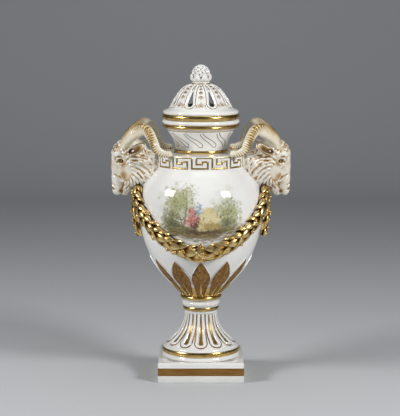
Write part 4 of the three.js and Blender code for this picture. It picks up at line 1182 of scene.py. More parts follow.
# %% Swags and tails
SWAG_LOW, SWAG_RISE, SWAG_END = 140.3, 61.0, math.radians(81)
s = np.linspace(-1, 1, 241)
for middle, place_name in ((0.0, "front"), (math.pi, "back")):
    rope = Rope(middle + SWAG_END * s, SWAG_LOW + SWAG_RISE * np.abs(s) ** 1.7, 8.9 * (1 - 0.14 * np.abs(s)))
    centre_run, end_run = rope.run[120], rope.run[-1]
    turns = np.linspace(-1.2, 1.2, 3)
    first = laurel(rope, 3.0, centre_run - 3.5, 1, turns)
    second = laurel(rope, centre_run + 4.5, end_run - 2.0, -1, turns)
    middle_leaves = [laurel_leaf(rope, centre_run + rng.uniform(-3, 3), turn, rng.choice([-1, 1]),
                                 0.9) for turn in turns]
    hanging = [berry(rope.place(centre_run + dx, -1.42 - 0.1 * k, 0.4 + 0.8 * k), 1.35)
               for k, dx in enumerate((-2.2, 0.4, -0.9))]
    heart = [berry(rope.place(centre_run + rng.uniform(-4, 4), rng.uniform(-1, 1), 0.2), BERRY)
             for _ in range(9)]
    node = f"laurel_swag_{place_name}"
    make_laurel(f"{node}_leaves", first[0] + second[0] + middle_leaves, [node], 60)
    make_laurel(f"{node}_berries", first[1] + second[1] + hanging + heart)
    points, faces = rope_core(rope, 0.5, end_run - 0.5)
    make_piece(f"{node}_core", pressed_swag(points), faces, painted_shade_gold, "vase", "gilding", sharp=60)
for middle, side_name in ((math.pi / 2, "right"), (-math.pi / 2, "left")):
    height = np.linspace(201, 149.5, 100)
    rope = Rope(np.full(100, middle), height, np.linspace(6.6, 5.2, 100))
    leaves, berries = laurel(rope, 2.0, rope.run[-1] - 3.0, 1, np.linspace(-1.0, 1.0, 2), 7.4)
    node = f"laurel_tail_{side_name}"
    make_laurel(f"{node}_leaves", leaves, [node], 60)
    make_laurel(f"{node}_berries", berries)
    core = rope_core(rope, 0.5, rope.run[-1] - 1, 2.2)
    make_piece(f"{node}_core", *core, painted_shade_gold, "vase", "gilding", sharp=60)

# %% [markdown]
# A ram's head is free modelling: a hornless skull with a curved nose, an open mouth and a beard, ears
# like hollow leaves, and wool in thick locks. Here it grows in a **distance field**, a block of numbers
# that are negative inside the clay. Lumps are pressed on with a soft join, hollows are pressed in, and a
# **surface net** then wraps the zero level in a mesh. Both halves of a face match, so only one half is
# modelled and the other is its mirror.

# %% Helper: clay as a distance field
CELL = 0.62  # mm
FIELD_LOW = np.array([-38.0, 0.5 * CELL, -36.0])
FIELD_SIZE = (np.array([72.0, 33.0, 74.0]) / CELL).astype(int)


class Clay:
    """A block of distances, in mm. x runs out from the bowl, y to the side, z up from the frieze."""

    def __init__(self):
        self.value = np.full(FIELD_SIZE, 60.0)

    def near(self, points, margin):
        """The part of the block around some points, and where its cells are."""
        points = np.atleast_2d(points)
        low = ((points.min(0) - margin - FIELD_LOW) / CELL).astype(int).clip(0, FIELD_SIZE - 1)
        high = ((points.max(0) + margin - FIELD_LOW) / CELL).astype(int).clip(0, FIELD_SIZE - 1) + 1
        box = tuple(slice(a, b) for a, b in zip(low, high))
        grid = np.meshgrid(*[FIELD_LOW[i] + CELL * np.arange(a, b) for i,
                             (a, b) in enumerate(zip(low, high))],
                           indexing="ij")
        return box, np.stack(grid, -1)

    def press(self, box, distance, soft, cut=False):
        """Joins clay on, or cuts it away, with a soft seam."""
        old, new = self.value[box], distance
        if cut:
            old, new = -old, distance
        h = np.clip(0.5 + 0.5 * (new - old) / soft, 0, 1)
        joined_up = new + h * (old - new) - soft * h * (1 - h)
        self.value[box] = -joined_up if cut else joined_up

    def ball(self, centre, radii, soft=2.0, cut=False, axes=None):
        centre, radii = np.asarray(centre, float), np.broadcast_to(np.asarray(radii, float), (3,))
        box, grid = self.near(centre, radii.max() + 2 * soft + 1)
        local = grid - centre
        if axes is not None:
            local = local @ np.asarray(axes).T
        scaled = np.linalg.norm(local / radii, axis=-1)
        slope = np.linalg.norm(local / radii**2, axis=-1).clip(1e-6)
        self.press(box, scaled * (scaled - 1) / slope, soft, cut)

    def stroke(self, points, radii, soft=1.0, cut=False, squash=1.0):
        """A tapering roll of clay through some points."""
        points = np.asarray(points, float)
        radii = np.interp(np.linspace(0, 1, len(points)), np.linspace(0, 1, len(np.atleast_1d(radii))),
                          np.atleast_1d(radii))
        for a, b, ra, rb in zip(points, points[1:], radii, radii[1:]):
            box, grid = self.near([a, b], max(ra, rb) + 2 * soft + 0.8)
            span = b - a
            t = np.clip((grid - a) @ span / max(span @ span, 1e-9), 0, 1)
            away = grid - a - t[..., None] * span
            away[..., 1] *= squash
            self.press(box, np.linalg.norm(away, axis=-1) - (ra + (rb - ra) * t), soft, cut)

    def sample(self, points):
        """Distances at some points, read between the cells."""
        at = ((np.atleast_2d(points) - FIELD_LOW) / CELL).clip(0, FIELD_SIZE - 1.001)
        low = at.astype(int)
        share = at - low
        total = 0
        for corner in np.ndindex(2, 2, 2):
            weight = np.prod(np.where(corner, share, 1 - share), axis=1)
            total = total + weight * self.value[tuple((low + corner).T)]
        return total

    def outwards(self, points):
        step = np.eye(3) * CELL
        return unit(np.stack([self.sample(points + e) - self.sample(points - e) for e in step], 1) + 1e-9)

    def settle(self, points, over=0.0, rounds=4):
        """Slides points onto the surface."""
        points = np.atleast_2d(np.asarray(points, float))
        for _ in range(rounds):
            points = points - (self.sample(points) - over)[:, None] * self.outwards(points)
        return points


def unpinched(value):
    """Fills the cells beside places where two lumps touch only along an edge."""
    value, pinches = value.copy(), 1
    while pinches:
        pinches = 0
        for axis in range(3):
            face = np.moveaxis(value, axis, 0)
            a, b, c, d = face[:, :-1, :-1], face[:, :-1, 1:], face[:, 1:, :-1], face[:, 1:, 1:]
            rising = (a < 0) & (d < 0) & (b >= 0) & (c >= 0)
            falling = (a >= 0) & (d >= 0) & (b < 0) & (c < 0)
            b[rising] = -0.02
            a[falling & ~rising] = -0.02
            pinches += int(rising.sum() + falling.sum())
    return value


def without_bubbles(value):
    """Fills the air that the lumps have closed in, which the outside air doesn't reach."""
    air = value >= 0
    outside = np.zeros_like(air)
    outside[0] = air[0]
    before = 0
    while outside.sum() != before:
        before = outside.sum()
        for axis in range(3):
            layer = np.moveaxis(outside, axis, 0)
            layer[1:] |= layer[:-1].copy()
            layer[:-1] |= layer[1:].copy()
            outside &= air
    print("bubbles:", int((air & ~outside).sum()), "cells")
    return np.where(air & ~outside, -0.5, value)


def surface_net(value):
    """Wraps the zero level of a block of distances in four-sided faces."""
    inside = value < 0
    corners = [tuple(slice(c, n - 1 + c) for c, n in zip(corner, value.shape)) for corner in np.ndindex(2,
                                                                                                        2, 2)]
    count = sum(inside[c].astype(int) for c in corners)
    cells = np.argwhere((count > 0) & (count < 8))
    number = np.full(tuple(n - 1 for n in value.shape), -1)
    number[tuple(cells.T)] = np.arange(len(cells))
    total, hits = np.zeros((len(cells), 3)), np.zeros(len(cells))
    for a in np.ndindex(2, 2, 2):
        for axis in range(3):
            if a[axis]:
                continue
            b = tuple(1 if i == axis else v for i, v in enumerate(a))
            va, vb = value[tuple((cells + a).T)], value[tuple((cells + b).T)]
            crosses = (va < 0) != (vb < 0)
            t = np.where(crosses, va / np.where(crosses, va - vb, 1), 0)
            total += crosses[:, None] * (np.array(a, float) + t[:, None] * np.eye(3)[axis])
            hits += crosses
    points = cells + total / hits[:, None]
    faces = []
    for axis in range(3):
        one, two = [i for i in range(3) if i != axis]
        low = [slice(1, -1)] * 3
        low[axis] = slice(0, -1)
        high = list(low)
        high[axis] = slice(1, None)
        change = inside[tuple(low)].astype(int) - inside[tuple(high)]
        edges = np.argwhere(change != 0)
        sign = change[tuple(edges.T)]
        base = edges + [1 if i != axis else 0 for i in range(3)]
        ring = []
        for da, db in ((1, 1), (0, 1), (0, 0), (1, 0)):
            cell = base.copy()
            cell[:, one] -= da
            cell[:, two] -= db
            ring.append(number[tuple(cell.T)])
        quads = np.stack(ring, 1)
        flip = (sign > 0) != (axis == 1)
        quads[~flip] = quads[~flip][:, ::-1]
        faces += quads.tolist()
    return points, faces


print("one head:", int(np.prod(FIELD_SIZE) * 2), "cells of", CELL, "mm")

# %% Skull, nose, jaw and eyes
clay = Clay()
clay.stroke([(2, 0, 2), (-10, 0, -3), (-24, 0, -9)], [18, 20.5, 22], 1)
clay.ball((7, 0, 12), (18.5, 16.5, 18), 3)
clay.ball((15, 0, 8), (14, 12.5, 18), 3)
clay.stroke([(19, 0, 10), (20.2, 0, 0), (20.6, 0, -12), (20.6, 0, -19)], [10.2, 9.4, 8.5, 8.2], 3,
            squash=1.12)
clay.ball((21.4, 0, -23.6), (7.4, 6.9, 7.2), 2)
clay.ball((6, 8, -6), (13, 9.5, 14), 4)
clay.stroke([(4, 0, -12), (10, 0, -18), (13.6, 0, -26.5)], [9.5, 6.2, 4.2], 3)
clay.stroke([(20.2, 0, -34), (18.2, 0, -27), (16.4, 0, -20.5)], [1.6, 1.2, 0.7], 0.6, cut=True, squash=0.04)
clay.ball((25.2, 5.2, 9.5), (3, 3.5, 6), 3)
clay.stroke([(23, 6, 13), (19.5, 10.6, 14.2), (14.5, 13.2, 12.5)], [2.6, 2.6, 2.0], 2)
clay.ball((19.3, 12.2, 7.2), (4.6, 3.4, 4.0), 2.0, cut=True)
clay.ball((18.2, 9.2, 7.2), 3.5, 0.3)
clay.stroke([(23.4, 8.8, 5.0), (21.4, 11.2, 9.0), (17.8, 12.8, 10.3), (12.8, 13.4, 7.6)],
            [0.7, 1.1, 1.1, 0.7], 0.8)
clay.stroke([(23.4, 8.8, 4.8), (20.2, 11.6, 3.7), (16.8, 12.5, 3.8), (13.0, 13.3, 6.0)],
            [0.6, 0.8, 0.8, 0.6], 1.0)
clay.stroke([(21.4, 9.8, 2.4), (17.6, 11.8, 1.2), (13.6, 13.2, 2.8)], [0.7, 0.9, 0.6], 1.2)
clay.stroke([(29.5, 2.6, -20.4), (27.6, 4.9, -23.6), (24.4, 6.6, -24.0)], [0.9, 1.35, 0.6], 0.8, cut=True)
clay.stroke([(27.6, 4.6, -19.6), (25.4, 6.4, -21.4)], [1.2, 0.9], 1.2)
clay.stroke([(28.8, 0, -24.5), (27.6, 0, -28.6)], [0.5, 0.4], 0.8, cut=True)
clay.stroke([(24.5, 6.9, -8), (19, 9.2, -10.5), (14, 10.5, -15)], [0.35, 0.4, 0.3], 2.4, cut=True)

# %% [markdown]
# The wool lies in rows of curved locks, like slates. Each lock is a tapering roll of clay that follows
# the surface from its root, turning as it goes. The long mane behind runs back over the shoulder of the
# bowl.

# %% Wool
bare = clay.value.copy()


def lock(start, heading, length, turn, thick, rise=0.5, steps=6):
    """A lock from a start, in a heading, turning by some degrees on its way."""
    bulk = Clay()
    bulk.value = bare
    at = bulk.settle(start, over=rise - 0.5 * thick)
    path, forward = [at[0]], np.asarray(heading, float)
    for _ in range(steps):
        normal = bulk.outwards(at)[0]
        forward = unit(forward - (forward @ normal) * normal)
        swing = math.radians(turn / steps)
        forward = forward * math.cos(swing) + np.cross(normal, forward) * math.sin(swing)
        at = bulk.settle(at + length / steps * forward, over=rise - 0.5 * thick, rounds=2)
        path.append(at[0])
    clay.stroke(path, [0.75 * thick, thick, 0.85 * thick, 0.3 * thick], 0.35)
    return path


wool = np.random.default_rng(3)
locks = []
FACE = np.array([16.0, 14.0, -5.0])
ROWS = ((11.5, 9, (-98, 62)), (16.0, 11, (-88, 74)), (20.5, 13, (-80, 84)), (25.5, 13, (-78, 76)))
for radius, count, spread in ROWS:
    for k, degrees in enumerate(np.linspace(*spread, count)):
        a = math.radians(degrees + wool.uniform(-3, 3))
        heading = np.array([-math.cos(a), 0, math.sin(a)])
        start = FACE + radius * heading + [0, 3 - 0.1 * radius, 0]
        turned_to = heading * math.cos(0.5) + np.array([-math.sin(a), 0, -math.cos(a)]) * math.sin(0.5)
        locks.append(lock(start, turned_to, wool.uniform(7.0, 9.0), -55, wool.uniform(1.35, 1.7)))
FOREHEAD = ((24, 3, 20), (25.5, 8, 16.5), (21.5, 9.5, 20), (20, 3.5, 25), (16.5, 9, 24.5), (27.3, 3.4, 14),
            (22.5, 13, 12.5), (12, 3.5, 28.5), (15.5, 13.5, 17.5))
for x, y, z in FOREHEAD:
    locks.append(lock((x, y, z), (0.3, wool.uniform(-1, 1), -0.9), 8.5, wool.choice([-250, 250]), 1.35,
                      steps=9))
BACK = ((6, 27), (11, 25), (15, 22), (18, 17), (20.5, 11), (21.5, 5), (22, -1), (21, -7), (19, -13),
        (15, -18), (8, -21))
for k, (y, z) in enumerate(BACK):
    locks.append(lock((-6 - (k % 2) * 2, y, z), (-1, 0.25, -0.7), 16, 45 if k % 2 else -45, 1.7, steps=9))
MANE = ((-12, 18, 17), (-15, 17, 18), (-18.5, 16, 18), (-13.5, 19, 9), (-17, 17, 10), (-12.5, 20, 1),
        (-16, 18, 3), (-12, 20, -6))
for k, (x, y, z) in enumerate(MANE):
    locks.append(lock((x, y, z), (-0.25, 0.2, -1), 13, 70 if k % 2 else -60, 1.6, steps=9))
for y in (1.2, 3.4):
    for x, z in ((12, -21), (14.5, -22.5), (9.5, -19.5)):
        locks.append(lock((x, y, z), (0.15, 0.1, -1), 9, -30 if x < 12 else 25, 1.5))
print(len(locks), "locks on each side")

# %% Ears, over the wool
EAR_ROOT, EAR_TIP = np.array([8.2, 13.2, 14.5]), np.array([-8.2, 25.5, 24.6])
lie = unit(EAR_TIP - EAR_ROOT)
face = unit(np.cross(lie, unit(np.array([-0.35, -0.25, 1.0]))))
face = face if face[1] > 0 else -face
across = np.cross(face, lie)
axes = np.stack([lie, across, face])
middle = (EAR_ROOT + EAR_TIP) / 2
clay.ball(middle, (12.2, 5.9, 2.5), 0.8, axes=axes)
clay.ball(middle + 2.4 * face + 0.3 * lie, (10.6, 4.7, 3.0), 0.5, cut=True, axes=axes)
print("ear", round(float(np.linalg.norm(EAR_TIP - EAR_ROOT)), 1), "mm long")

# %% Cut the heads to the bowl and wrap them in a mesh
full = np.concatenate([clay.value[:, ::-1], clay.value], axis=1)
low = np.array([FIELD_LOW[0], -(FIELD_SIZE[1] - 0.5) * CELL, FIELD_LOW[2]])
grid = np.meshgrid(*[low[i] + CELL * np.arange(n) for i, n in enumerate(full.shape)], indexing="ij")
from_axis, height = np.hypot(grid[0] + HEAD_X, grid[1]), grid[2] + HEAD_Z
bowl_at = np.interp(height, bowl_outline.line[:, 1], bowl_outline.line[:, 0])
neck_at = np.interp(height, neck_outline.line[:, 1], neck_outline.line[:, 0])
wall_at = np.where(height > bowl_outline.line[-1, 1], neck_at, bowl_at)
lean = np.gradient(wall_at, CELL, axis=2)
full = np.maximum(full, -((from_axis - wall_at) / np.hypot(1, lean) + 0.8))
full[[0, -1]] = full[:, [0, -1]] = full[:, :, [0, -1]] = 5.0


# Place, size and strength of the painted pupil and of each touch of painted shade
PUPIL_AND_SHADE_TOUCHES = ((19.2, 12.7, 7.0, 0.9, 0.7), (18, 12, 11.5, 2.2, 0.24), (15, 12.5, 4.5, 2.4, 0.2),
           (14.5, 12, -8, 2.6, 0.26), (12, 12, 18, 3.2, 0.2), (4, 14, 8, 3.0, 0.2), (-6, 20, 14, 3.5, 0.22),
           (24, 5, 21, 3.0, 0.16), (9, 12, -14, 3.5, 0.14), (27.3, 4.2, -22.3, 1.2, 0.5),
           (18.4, 6, -25.5, 1.7, 0.3), (4.5, 16, 16.6, 2.6, 0.34), (-0.5, 19.6, 19.6, 2.8, 0.26))


def paint_pupil_and_shade(piece, side):
    """The painted pupil, and touches of painted shade on the brow, cheek, nostril and mouth and in the ear.
    """
    points = np.array([point.co[:] for point in piece.data.vertices]) / MM * [side, side, 1] - [HEAD_X, 0,
                                                                                                HEAD_Z]
    points[:, 1] = np.abs(points[:, 1])
    field = piece.data.attributes["recess"]
    value = np.empty(len(points), np.float32)
    field.data.foreach_get("value", value)
    for x, y, z, size, amount in PUPIL_AND_SHADE_TOUCHES:
        value += amount * np.exp(-((points - [x, y, z]) ** 2).sum(1) / (2 * size**2)).astype(np.float32)
    field.data.foreach_set("value", value.clip(0, 1))


points, faces = surface_net(without_bubbles(unpinched(full)))
points = pressed(low + CELL * points + [HEAD_X, 0, HEAD_Z], 0, HEAD_X + 22, HEAD_X + 30.4, HEAD_X + 28.5)
for side, side_name in ((1, "right"), (-1, "left")):
    node = f"ram_head_{side_name}"
    head = make_piece(f"{node}_porcelain", mirrored(points, side), faces, tinted_and_shaded_porcelain, "vase",
                      "tinted_glaze", [node], 80)
    # The heads darken in their hollows: painted shade.
    mark_recesses(head, 3)
    paint_pupil_and_shade(head, side)
print("one head:", len(faces), "faces")


# %% Gold on the edges of the ears
def thread(path, radius, around=8):
    """A fine round line in space."""
    along = unit(np.gradient(path, axis=0))
    over = unit(np.cross(along, [0.31, 0.17, 1.0]))
    a = np.linspace(0, 2 * np.pi, around, endpoint=False)[None, :, None]
    points = path[:, None] + radius * (np.cos(a) * over[:, None] + np.sin(a) * np.cross(along, over)[:, None])
    faces = grid_faces(len(path), around, wrap=True) + end_caps(len(path), around)
    return points.reshape(-1, 3), faces


for side, side_name in ((1, "right"), (-1, "left")):
    rims = []
    for flip in (1, -1):
        a = np.linspace(-2.3, 2.3, 60)[::flip, None]
        rim = middle + 11.3 * np.cos(a) * lie + 5.3 * np.sin(a) * across + 1.0 * face
        points, faces = thread((rim + [HEAD_X, 0, HEAD_Z]) * [1, flip, 1], 0.65)
        rims.append((mirrored(points, side), faces))
    make_piece(f"ears_{side_name}_gold", *joined(rims), line_gold, "vase", "gilding")

# %% [markdown]
# The key pattern on the upright band is one gold line that turns in and out of itself. One turn of it is
# a list of corners on a small squared grid, repeated all the way round. Above it, on the neck, are
# slanting drops that were outlined freehand with a fine brush.

# %% Key pattern
KEY_TURNS, KEY_LOW_Z, KEY_HIGH_Z, KEY_LINE = 14, 225.3, 236.4, 1.9
KEY_START = math.radians(-11.4)  # where the first turn starts, from the front
key_low, key_high = bowl_outline.run_at(KEY_LOW_Z), bowl_outline.run_at(KEY_HIGH_Z)
TURN = 2 * math.pi / KEY_TURNS
corners = [(0.0, 1.0), (0.0, 0.0), (0.775, 0.0), (0.775, 0.63), (0.5, 0.63), (0.5, 0.41), (0.225, 0.41),
           (0.225, 1.0)]
mean_radius = float(bowl_outline.radius((key_low + key_high) / 2))
key = [((k + x) * TURN * mean_radius, key_low + y * (key_high - key_low)) for k in range(KEY_TURNS) for x,
       y in corners]
key.append((2 * math.pi * mean_radius, key_high))
grid = brush_line(key, KEY_LINE, step=1.2)
grid[..., 0] /= mean_radius
key_skin = laid_on(bowl_outline, grid, middle=KEY_START, straight=True)
make_piece("key_pattern_gold", *key_skin, pattern_gold, "vase", "gilding")
print("key pattern:", KEY_TURNS, "turns of", round(TURN * mean_radius, 1), "mm")

# %% Drops on the neck
DROPS = 12
drops = []
neck_run = neck_outline.run[-1]
for k in range(DROPS):
    t = np.linspace(0, 1, 60)
    centre_x = -8.5 + 17.0 * t ** 1.15
    centre_y = neck_run * (0.82 - 0.66 * t) - 0.8 * np.sin(2 * np.pi * t)
    along = np.stack([np.gradient(centre_x), np.gradient(centre_y)], 1)
    along /= np.linalg.norm(along, axis=1)[:, None]
    half = (1.35 + 1.1 * t) * np.sqrt(np.clip((1 - t) / 0.1, 0, 1) * (2 - np.clip((1 - t) / 0.1, 0, 1)))
    left = np.stack([centre_x, centre_y], 1) + half[:, None] * np.stack([-along[:, 1], along[:, 0]], 1)
    right = np.stack([centre_x, centre_y], 1) - half[:, None] * np.stack([-along[:, 1], along[:, 0]], 1)
    loop = np.vstack([left[:-1], right[::-1]])
    drops.append(laid_on(neck_outline, brush_line(loop, 0.65, step=0.6),
                         middle=(k + 0.5) * 2 * math.pi / DROPS))
make_piece("neck_drops_gold", *joined(drops), shaded_gold, "vase", "gilding")

# %% [markdown]
# The bolt set never shows when the vase stands: a steel bolt through bowl, collar and foot, with a cork
# pad and a brass washer at each end. These pieces come over from the CAD model as they are and only get
# their materials.

# %% Bolt set
steel, tree, place = new_material("plain_steel_rod", Metallic=1.0, Roughness=0.34)
grime = add_node(tree, "ShaderNodeTexNoise", {"Scale": 420.0, "Detail": 3.0}, Vector=place)
colour_by(tree, grime.outputs["Fac"], [(0.35, "#8d9093"), (0.65, "#b9bcbe")])
cork, tree, place = new_material("pressed_cork", Roughness=0.85)
grain = add_node(tree, "ShaderNodeTexVoronoi", {"Scale": 900.0}, Vector=place)
colour_by(tree, grain.outputs["Distance"], [(0.1, "#8a6238"), (0.6, "#c69a67")])
brass, tree, place = new_material("dull_turned_brass", Metallic=1.0, Roughness=0.36)
grime = add_node(tree, "ShaderNodeTexNoise", {"Scale": 300.0, "Detail": 3.0}, Vector=place)
colour_by(tree, grime.outputs["Fac"], [(0.35, "#a0813f"), (0.65, "#c9a95f")])
BOLT_SET = {"bowl_cork": cork, "foot_cork": cork, "bowl_washer": brass, "foot_washer": brass,
            "tie_bolt": steel, "tie_nut": brass}
for name, finish in BOLT_SET.items():
    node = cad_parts[name]
    node.data.materials.clear()
    node.data.materials.append(finish)
    print(name, "gets", finish.name)

# %% [markdown]
# The front of the bowl is painted in **enamel colours**, ground glass with metal oxides, laid on with a
# soft brush and fired into the glaze. They stay as shiny as the white around them. The picture is a small
# garden scene that fades out at its edges: slender trees, shrubs, and flowers in yellow, rose and blue on
# brown earth. It is painted with soft dabs on a fine grid, and the grid's colours are carried by the
# mesh, so no picture file is needed. The colours are thin, so they multiply the white glaze that lies
# under them.

# %% Helper: a canvas to dab on
GRAIN = 0.34  # mm between grid points
CANVAS = np.array([50.0, 35.0])  # half width and half height
columns, rows = (2 * CANVAS / GRAIN).astype(int) + 1
across = np.linspace(-CANVAS[0], CANVAS[0], columns)
up = np.linspace(-CANVAS[1], CANVAS[1], rows)
paint = np.ones((rows, columns, 3))
brush = np.random.default_rng(21)


def dab(x, y, long, wide, lean, colour, strength):
    """One soft touch of the brush."""
    reach = 1.3 * max(long, wide)
    i = slice(*np.searchsorted(up, (y - reach, y + reach)))
    j = slice(*np.searchsorted(across, (x - reach, x + reach)))
    dy, dx = np.meshgrid(up[i] - y, across[j] - x, indexing="ij")
    u = (dx * math.cos(lean) + dy * math.sin(lean)) / long
    v = (dy * math.cos(lean) - dx * math.sin(lean)) / wide
    cover = strength * np.clip(1.25 - (u**2 + v**2), 0, 1)
    paint[i, j] = paint[i, j] * (1 - cover[..., None]) + cover[..., None] * np.array(linear(colour)[:3])


def dabs(count, centre, spread, size, colours, strength, lean=(0, math.pi), even=False):
    """Many touches around a place. The spread is a normal one, or even inside an ellipse."""
    for _ in range(count):
        if even:
            r, a = math.sqrt(brush.uniform()), brush.uniform(0, 2 * math.pi)
            x, y = centre[0] + spread[0] * r * math.cos(a), centre[1] + spread[1] * r * math.sin(a)
        else:
            x, y = brush.normal(centre, spread)
        s = brush.uniform(0.65, 1.35)
        dab(x, y, size[0] * s, size[1] * s, brush.uniform(*lean), colours[brush.integers(len(colours))],
            strength * brush.uniform(0.6, 1.2))


# %% Garden scene: washes, trees and ground
far = ["#dfdfca", "#d3d6bb", "#cbd2b8", "#dcd7c0"]
pale = ["#c0c396", "#b3b47c", "#c9c799", "#b7bd93"]
leafy = ["#95975a", "#80834a", "#a8a66c", "#6f7340", "#8f967a"]
deep = ["#55542f", "#646235", "#454424", "#56654e"]
earth = ["#8a7448", "#9c8450", "#6f5a37", "#ac9562", "#5c4a2c"]
umber = ["#5c3a24", "#6b4a2e", "#4a2f20"]
bark = ["#8d7d5a", "#75664a", "#a3946f"]
dabs(120, (-22, 8), (9, 9), (4.6, 3.4), far, 0.3)
dabs(110, (25, 2), (9, 8), (4.2, 3.0), far, 0.3)
dabs(170, (-24, 12), (7, 7), (2.4, 1.5), pale, 0.42)
dabs(190, (28, -1), (7, 6.5), (2.3, 1.4), pale, 0.44)
dabs(120, (-33, -8), (5, 5), (2.6, 1.7), leafy, 0.4)
dabs(90, (26, -10), (7, 4), (2.6, 1.6), leafy, 0.42)
TRUNKS = (((-19, -16), (-13, 30), 1.5), ((-19, -14), (-30, 15), 0.9), ((25, -14), (30, 14), 0.9))
for foot, top, thick in TRUNKS:
    for t in np.linspace(0, 1, 80):
        x = foot[0] + (top[0] - foot[0]) * t + 1.3 * math.sin(4.2 * t)
        y = foot[1] + (top[1] - foot[1]) * t
        dab(x, y, 1.2, thick * (1 - 0.7 * t), math.pi / 2, bark[brush.integers(3)], 0.5 * (1.1 - t))
dabs(300, (-23, 12), (6.5, 6.5), (1.1, 0.55), leafy + pale, 0.6)
dabs(150, (-14, 23), (5, 4.5), (1.1, 0.55), pale + leafy[:2], 0.5)
dabs(280, (30, 1), (6, 6), (1.1, 0.55), leafy + pale, 0.6)
dabs(260, (-32, -8), (5, 5), (1.4, 0.65), leafy + deep[:1], 0.6)
dabs(140, (-27, -13), (6, 3), (1.4, 0.6), deep, 0.55)
dabs(150, (25, -12), (6, 3.6), (1.4, 0.6), deep, 0.5)
dabs(220, (-2, -20), (18, 2.6), (5.0, 1.3), earth, 0.34, lean=(-0.2, 0.25))
dabs(190, (2, -23), (13, 1.8), (4.0, 0.8), earth, 0.45, lean=(-0.25, 0.25))
dabs(150, (-18, -17), (8, 2.4), (3.2, 0.8), earth + leafy, 0.48, lean=(-0.3, 0.3))
dabs(160, (22, -16.5), (9, 2.2), (3.2, 0.8), earth + leafy, 0.48, lean=(-0.2, 0.3))
dabs(240, (1, -9), (13, 6), (1.6, 0.8), leafy + deep, 0.5)
dabs(90, (2, -18.5), (11, 1.2), (3.0, 0.7), umber, 0.55, lean=(-0.15, 0.15))

# %% Garden scene: flowers


def blossom(x, y, size, light, dark):
    """A flower head: a dark middle and a ring of petals."""
    for a in np.linspace(0, 2 * math.pi, 6, endpoint=False) + brush.uniform(0, 1):
        dab(x + 0.6 * size * math.cos(a), y + 0.6 * size * math.sin(a), 0.62 * size, 0.42 * size, a, light,
            0.8)
    dab(x, y, 0.42 * size, 0.36 * size, 0, dark, 0.8)


cream = ["#e0d09a", "#d7c488", "#e6d9ac"]
for middle_x, middle_y, wide, high in ((5, -4, 7, 7), (13, -9, 8, 6), (2, -12, 8, 5), (9, 1, 4.5, 4)):
    dabs(44, (middle_x, middle_y), (wide, high), (3.0, 2.0), cream, 0.5, even=True)
dabs(70, (12, -13), (9, 3.5), (2.6, 1.2), ["#b39a5e", "#a2864a", "#8f8a55"], 0.42, even=True)
dabs(60, (5, -2), (6, 5), (1.8, 1.1), ["#f3ead0", "#eadba4"], 0.5, even=True)
rose = ["#cf9188", "#c07a70", "#dba89c"]
for middle_x, middle_y, wide, high in ((-9, 1, 3.5, 5), (-11.5, -6, 4, 5.5), (-7, -9, 4.5, 5)):
    dabs(34, (middle_x, middle_y), (wide, high), (2.2, 1.4), rose, 0.5, even=True)
dabs(60, (-7, -10.5), (4.2, 4.5), (1.8, 1.0), ["#7d4340", "#5a3238", "#8d5148"], 0.5, even=True)
dabs(40, (-3.6, -4), (1.5, 5), (1.5, 0.8), ["#3f2c33", "#4c3a3a", "#38403a"], 0.55)
for _ in range(80):
    x, y = brush.normal((8, -6), (6.5, 5.0))
    shaded = y < -8.5 - 0.3 * (x - 8) + brush.normal(0, 2)
    petals, heart = ("#c9b06c", "#94763a") if shaded else ("#f0e4b8", "#c9ac66")
    blossom(x, y, brush.uniform(0.9, 1.6), petals, heart)
for _ in range(50):
    x, y = brush.normal((-9, -4), (3.2, 5.0))
    petals, middle_dot = ("#c96f66", "#853c38") if brush.uniform() < 0.6 else ("#e2b0a6", "#b0615a")
    blossom(x, y, brush.uniform(0.8, 1.4), petals, middle_dot)
dabs(46, (-1.5, 4), (1.8, 3.2), (1.1, 0.8), ["#9db9d2", "#7f9fc4", "#b3c8da"], 0.7)
for x in brush.normal(0, 15, 120):
    dab(x, -19 + brush.normal(0, 2), 0.3, 1.9, brush.normal(0, 0.35), deep[brush.integers(3)], 0.55)
dabs(80, (2, -28), (12, 1.3), (2.4, 0.5), ["#7d6a41", "#5c4a2c", "#8f9c6d"], 0.5, lean=(-0.5, 0.5))
print("canvas", columns, "by", rows, "points")

# %% Enamel, and the painting on the bowl
enamel = glazed_porcelain("painted_enamel")
tree = enamel.node_tree
shader = tree.nodes["Principled BSDF"]
under = shader.inputs["Base Color"].links[0].from_socket
laid = add_node(tree, "ShaderNodeAttribute", {"attribute_name": "enamel"})
thin = add_node(tree, "ShaderNodeVectorMath", {"operation": "MULTIPLY"}, _0=under, _1=laid.outputs["Color"])
tree.links.new(thin.outputs["Vector"], shader.inputs["Base Color"])
PAINTING_Z = 181.0
middle_run = float(bowl_outline.run_at(PAINTING_Z))
grid_x, grid_y = np.meshgrid(across, up)
edge = np.minimum(CANVAS[0] - np.abs(grid_x), CANVAS[1] - np.abs(grid_y))
lift = 0.035 * np.clip(edge / 2.0, 0, 1) - 0.06 * np.clip(1 - edge / 0.8, 0, 1)
run = middle_run + grid_y
angle = grid_x / bowl_outline.radius(run)
picture = skin(bowl_outline.place(angle, run, lift), bowl_outline.place(angle, run, lift - 0.25))
painting = make_piece("painting_enamel", *picture, enamel, "vase", "white_glaze")
colour = painting.data.color_attributes.new("enamel", "FLOAT_COLOR", "POINT")
flat = np.ones((2 * rows * columns, 4), np.float32)
flat[:, :3] = np.tile(paint.reshape(-1, 3), (2, 1))
colour.data.foreach_set("color", flat.ravel())
# %% [markdown]
# The camera stands where the photographer's did: it looks down by eight degrees through a long lens, from
# about 1.7 m. The light is a plain studio: two large soft boxes in front, to the left and right, whose
# reflections give the bowl its two soft highlights, a weaker one above, and an even grey room.

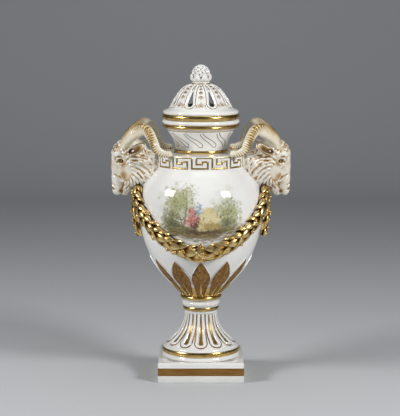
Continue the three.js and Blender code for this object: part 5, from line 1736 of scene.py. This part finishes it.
# %% Camera, light and floor
scene = bpy.context.scene
AIM = (-0.00095, 0.0, 0.1784)
DISTANCE, TILT = 1.7297, math.radians(8)
FOCAL_PIXELS, PICTURE_HEIGHT = 1638, 416
camera = bpy.data.objects.new("camera", bpy.data.cameras.new("camera"))
camera.location = (AIM[0], -DISTANCE * math.cos(TILT), AIM[2] + DISTANCE * math.sin(TILT))
camera.rotation_euler = (math.pi / 2 - TILT, 0, 0)
camera.data.sensor_width = 36.0
camera.data.lens = 36.0 * FOCAL_PIXELS / PICTURE_HEIGHT
scene.collection.objects.link(camera)
scene.camera = camera
scene.view_settings.view_transform = "Standard"


def soft_box(name, at, size, watts, aim=(0, 0, 0.18)):
    lamp = bpy.data.lights.new(name, "AREA")
    lamp.shape, lamp.size, lamp.size_y, lamp.energy = "RECTANGLE", size[0], size[1], watts
    holder = bpy.data.objects.new(name, lamp)
    holder.location = at
    holder.rotation_euler = (mathutils.Vector(aim) - mathutils.Vector(at)).to_track_quat("-Z", "Y").to_euler()
    scene.collection.objects.link(holder)


soft_box("left_soft_box", (-0.99, -0.48, 0.73), (0.37, 0.26), 9.3)
soft_box("right_soft_box", (0.84, -0.71, 0.73), (0.30, 0.24), 10.0)
soft_box("top_soft_box", (0.1, 0.0, 1.35), (0.7, 0.7), 2.0)

world = bpy.data.worlds.new("grey_room")
scene.world = world
world.use_nodes = True
world.node_tree.nodes["Background"].inputs["Color"].default_value = linear("#6f7276")
world.node_tree.nodes["Background"].inputs["Strength"].default_value = 0.55

sweep_turn = np.linspace(-np.pi / 2, 0, 24)
curve = [(1.4 + 0.6 * math.cos(a), 0.6 + 0.6 * math.sin(a)) for a in sweep_turn]
sweep = [(-2.5, 0.0), (1.4, 0.0)] + curve + [(2.0, 3.0)]
floor_mesh = bpy.data.meshes.new("studio_sweep")
floor_mesh.from_pydata([(x, y, z) for y, z in sweep for x in (-3.0, 3.0)], [],
                       [(2 * i, 2 * i + 1, 2 * i + 3, 2 * i + 2) for i in range(len(sweep) - 1)])
floor_mesh.polygons.foreach_set("use_smooth", [True] * len(floor_mesh.polygons))
floor = bpy.data.objects.new("studio_sweep", floor_mesh)
paper = new_material("pale_paper", Roughness=0.85, Base_Color=linear("#c4c6c8"))[0]
floor_mesh.materials.append(paper)
scene.collection.objects.link(floor)
print("camera, lights and floor are set")
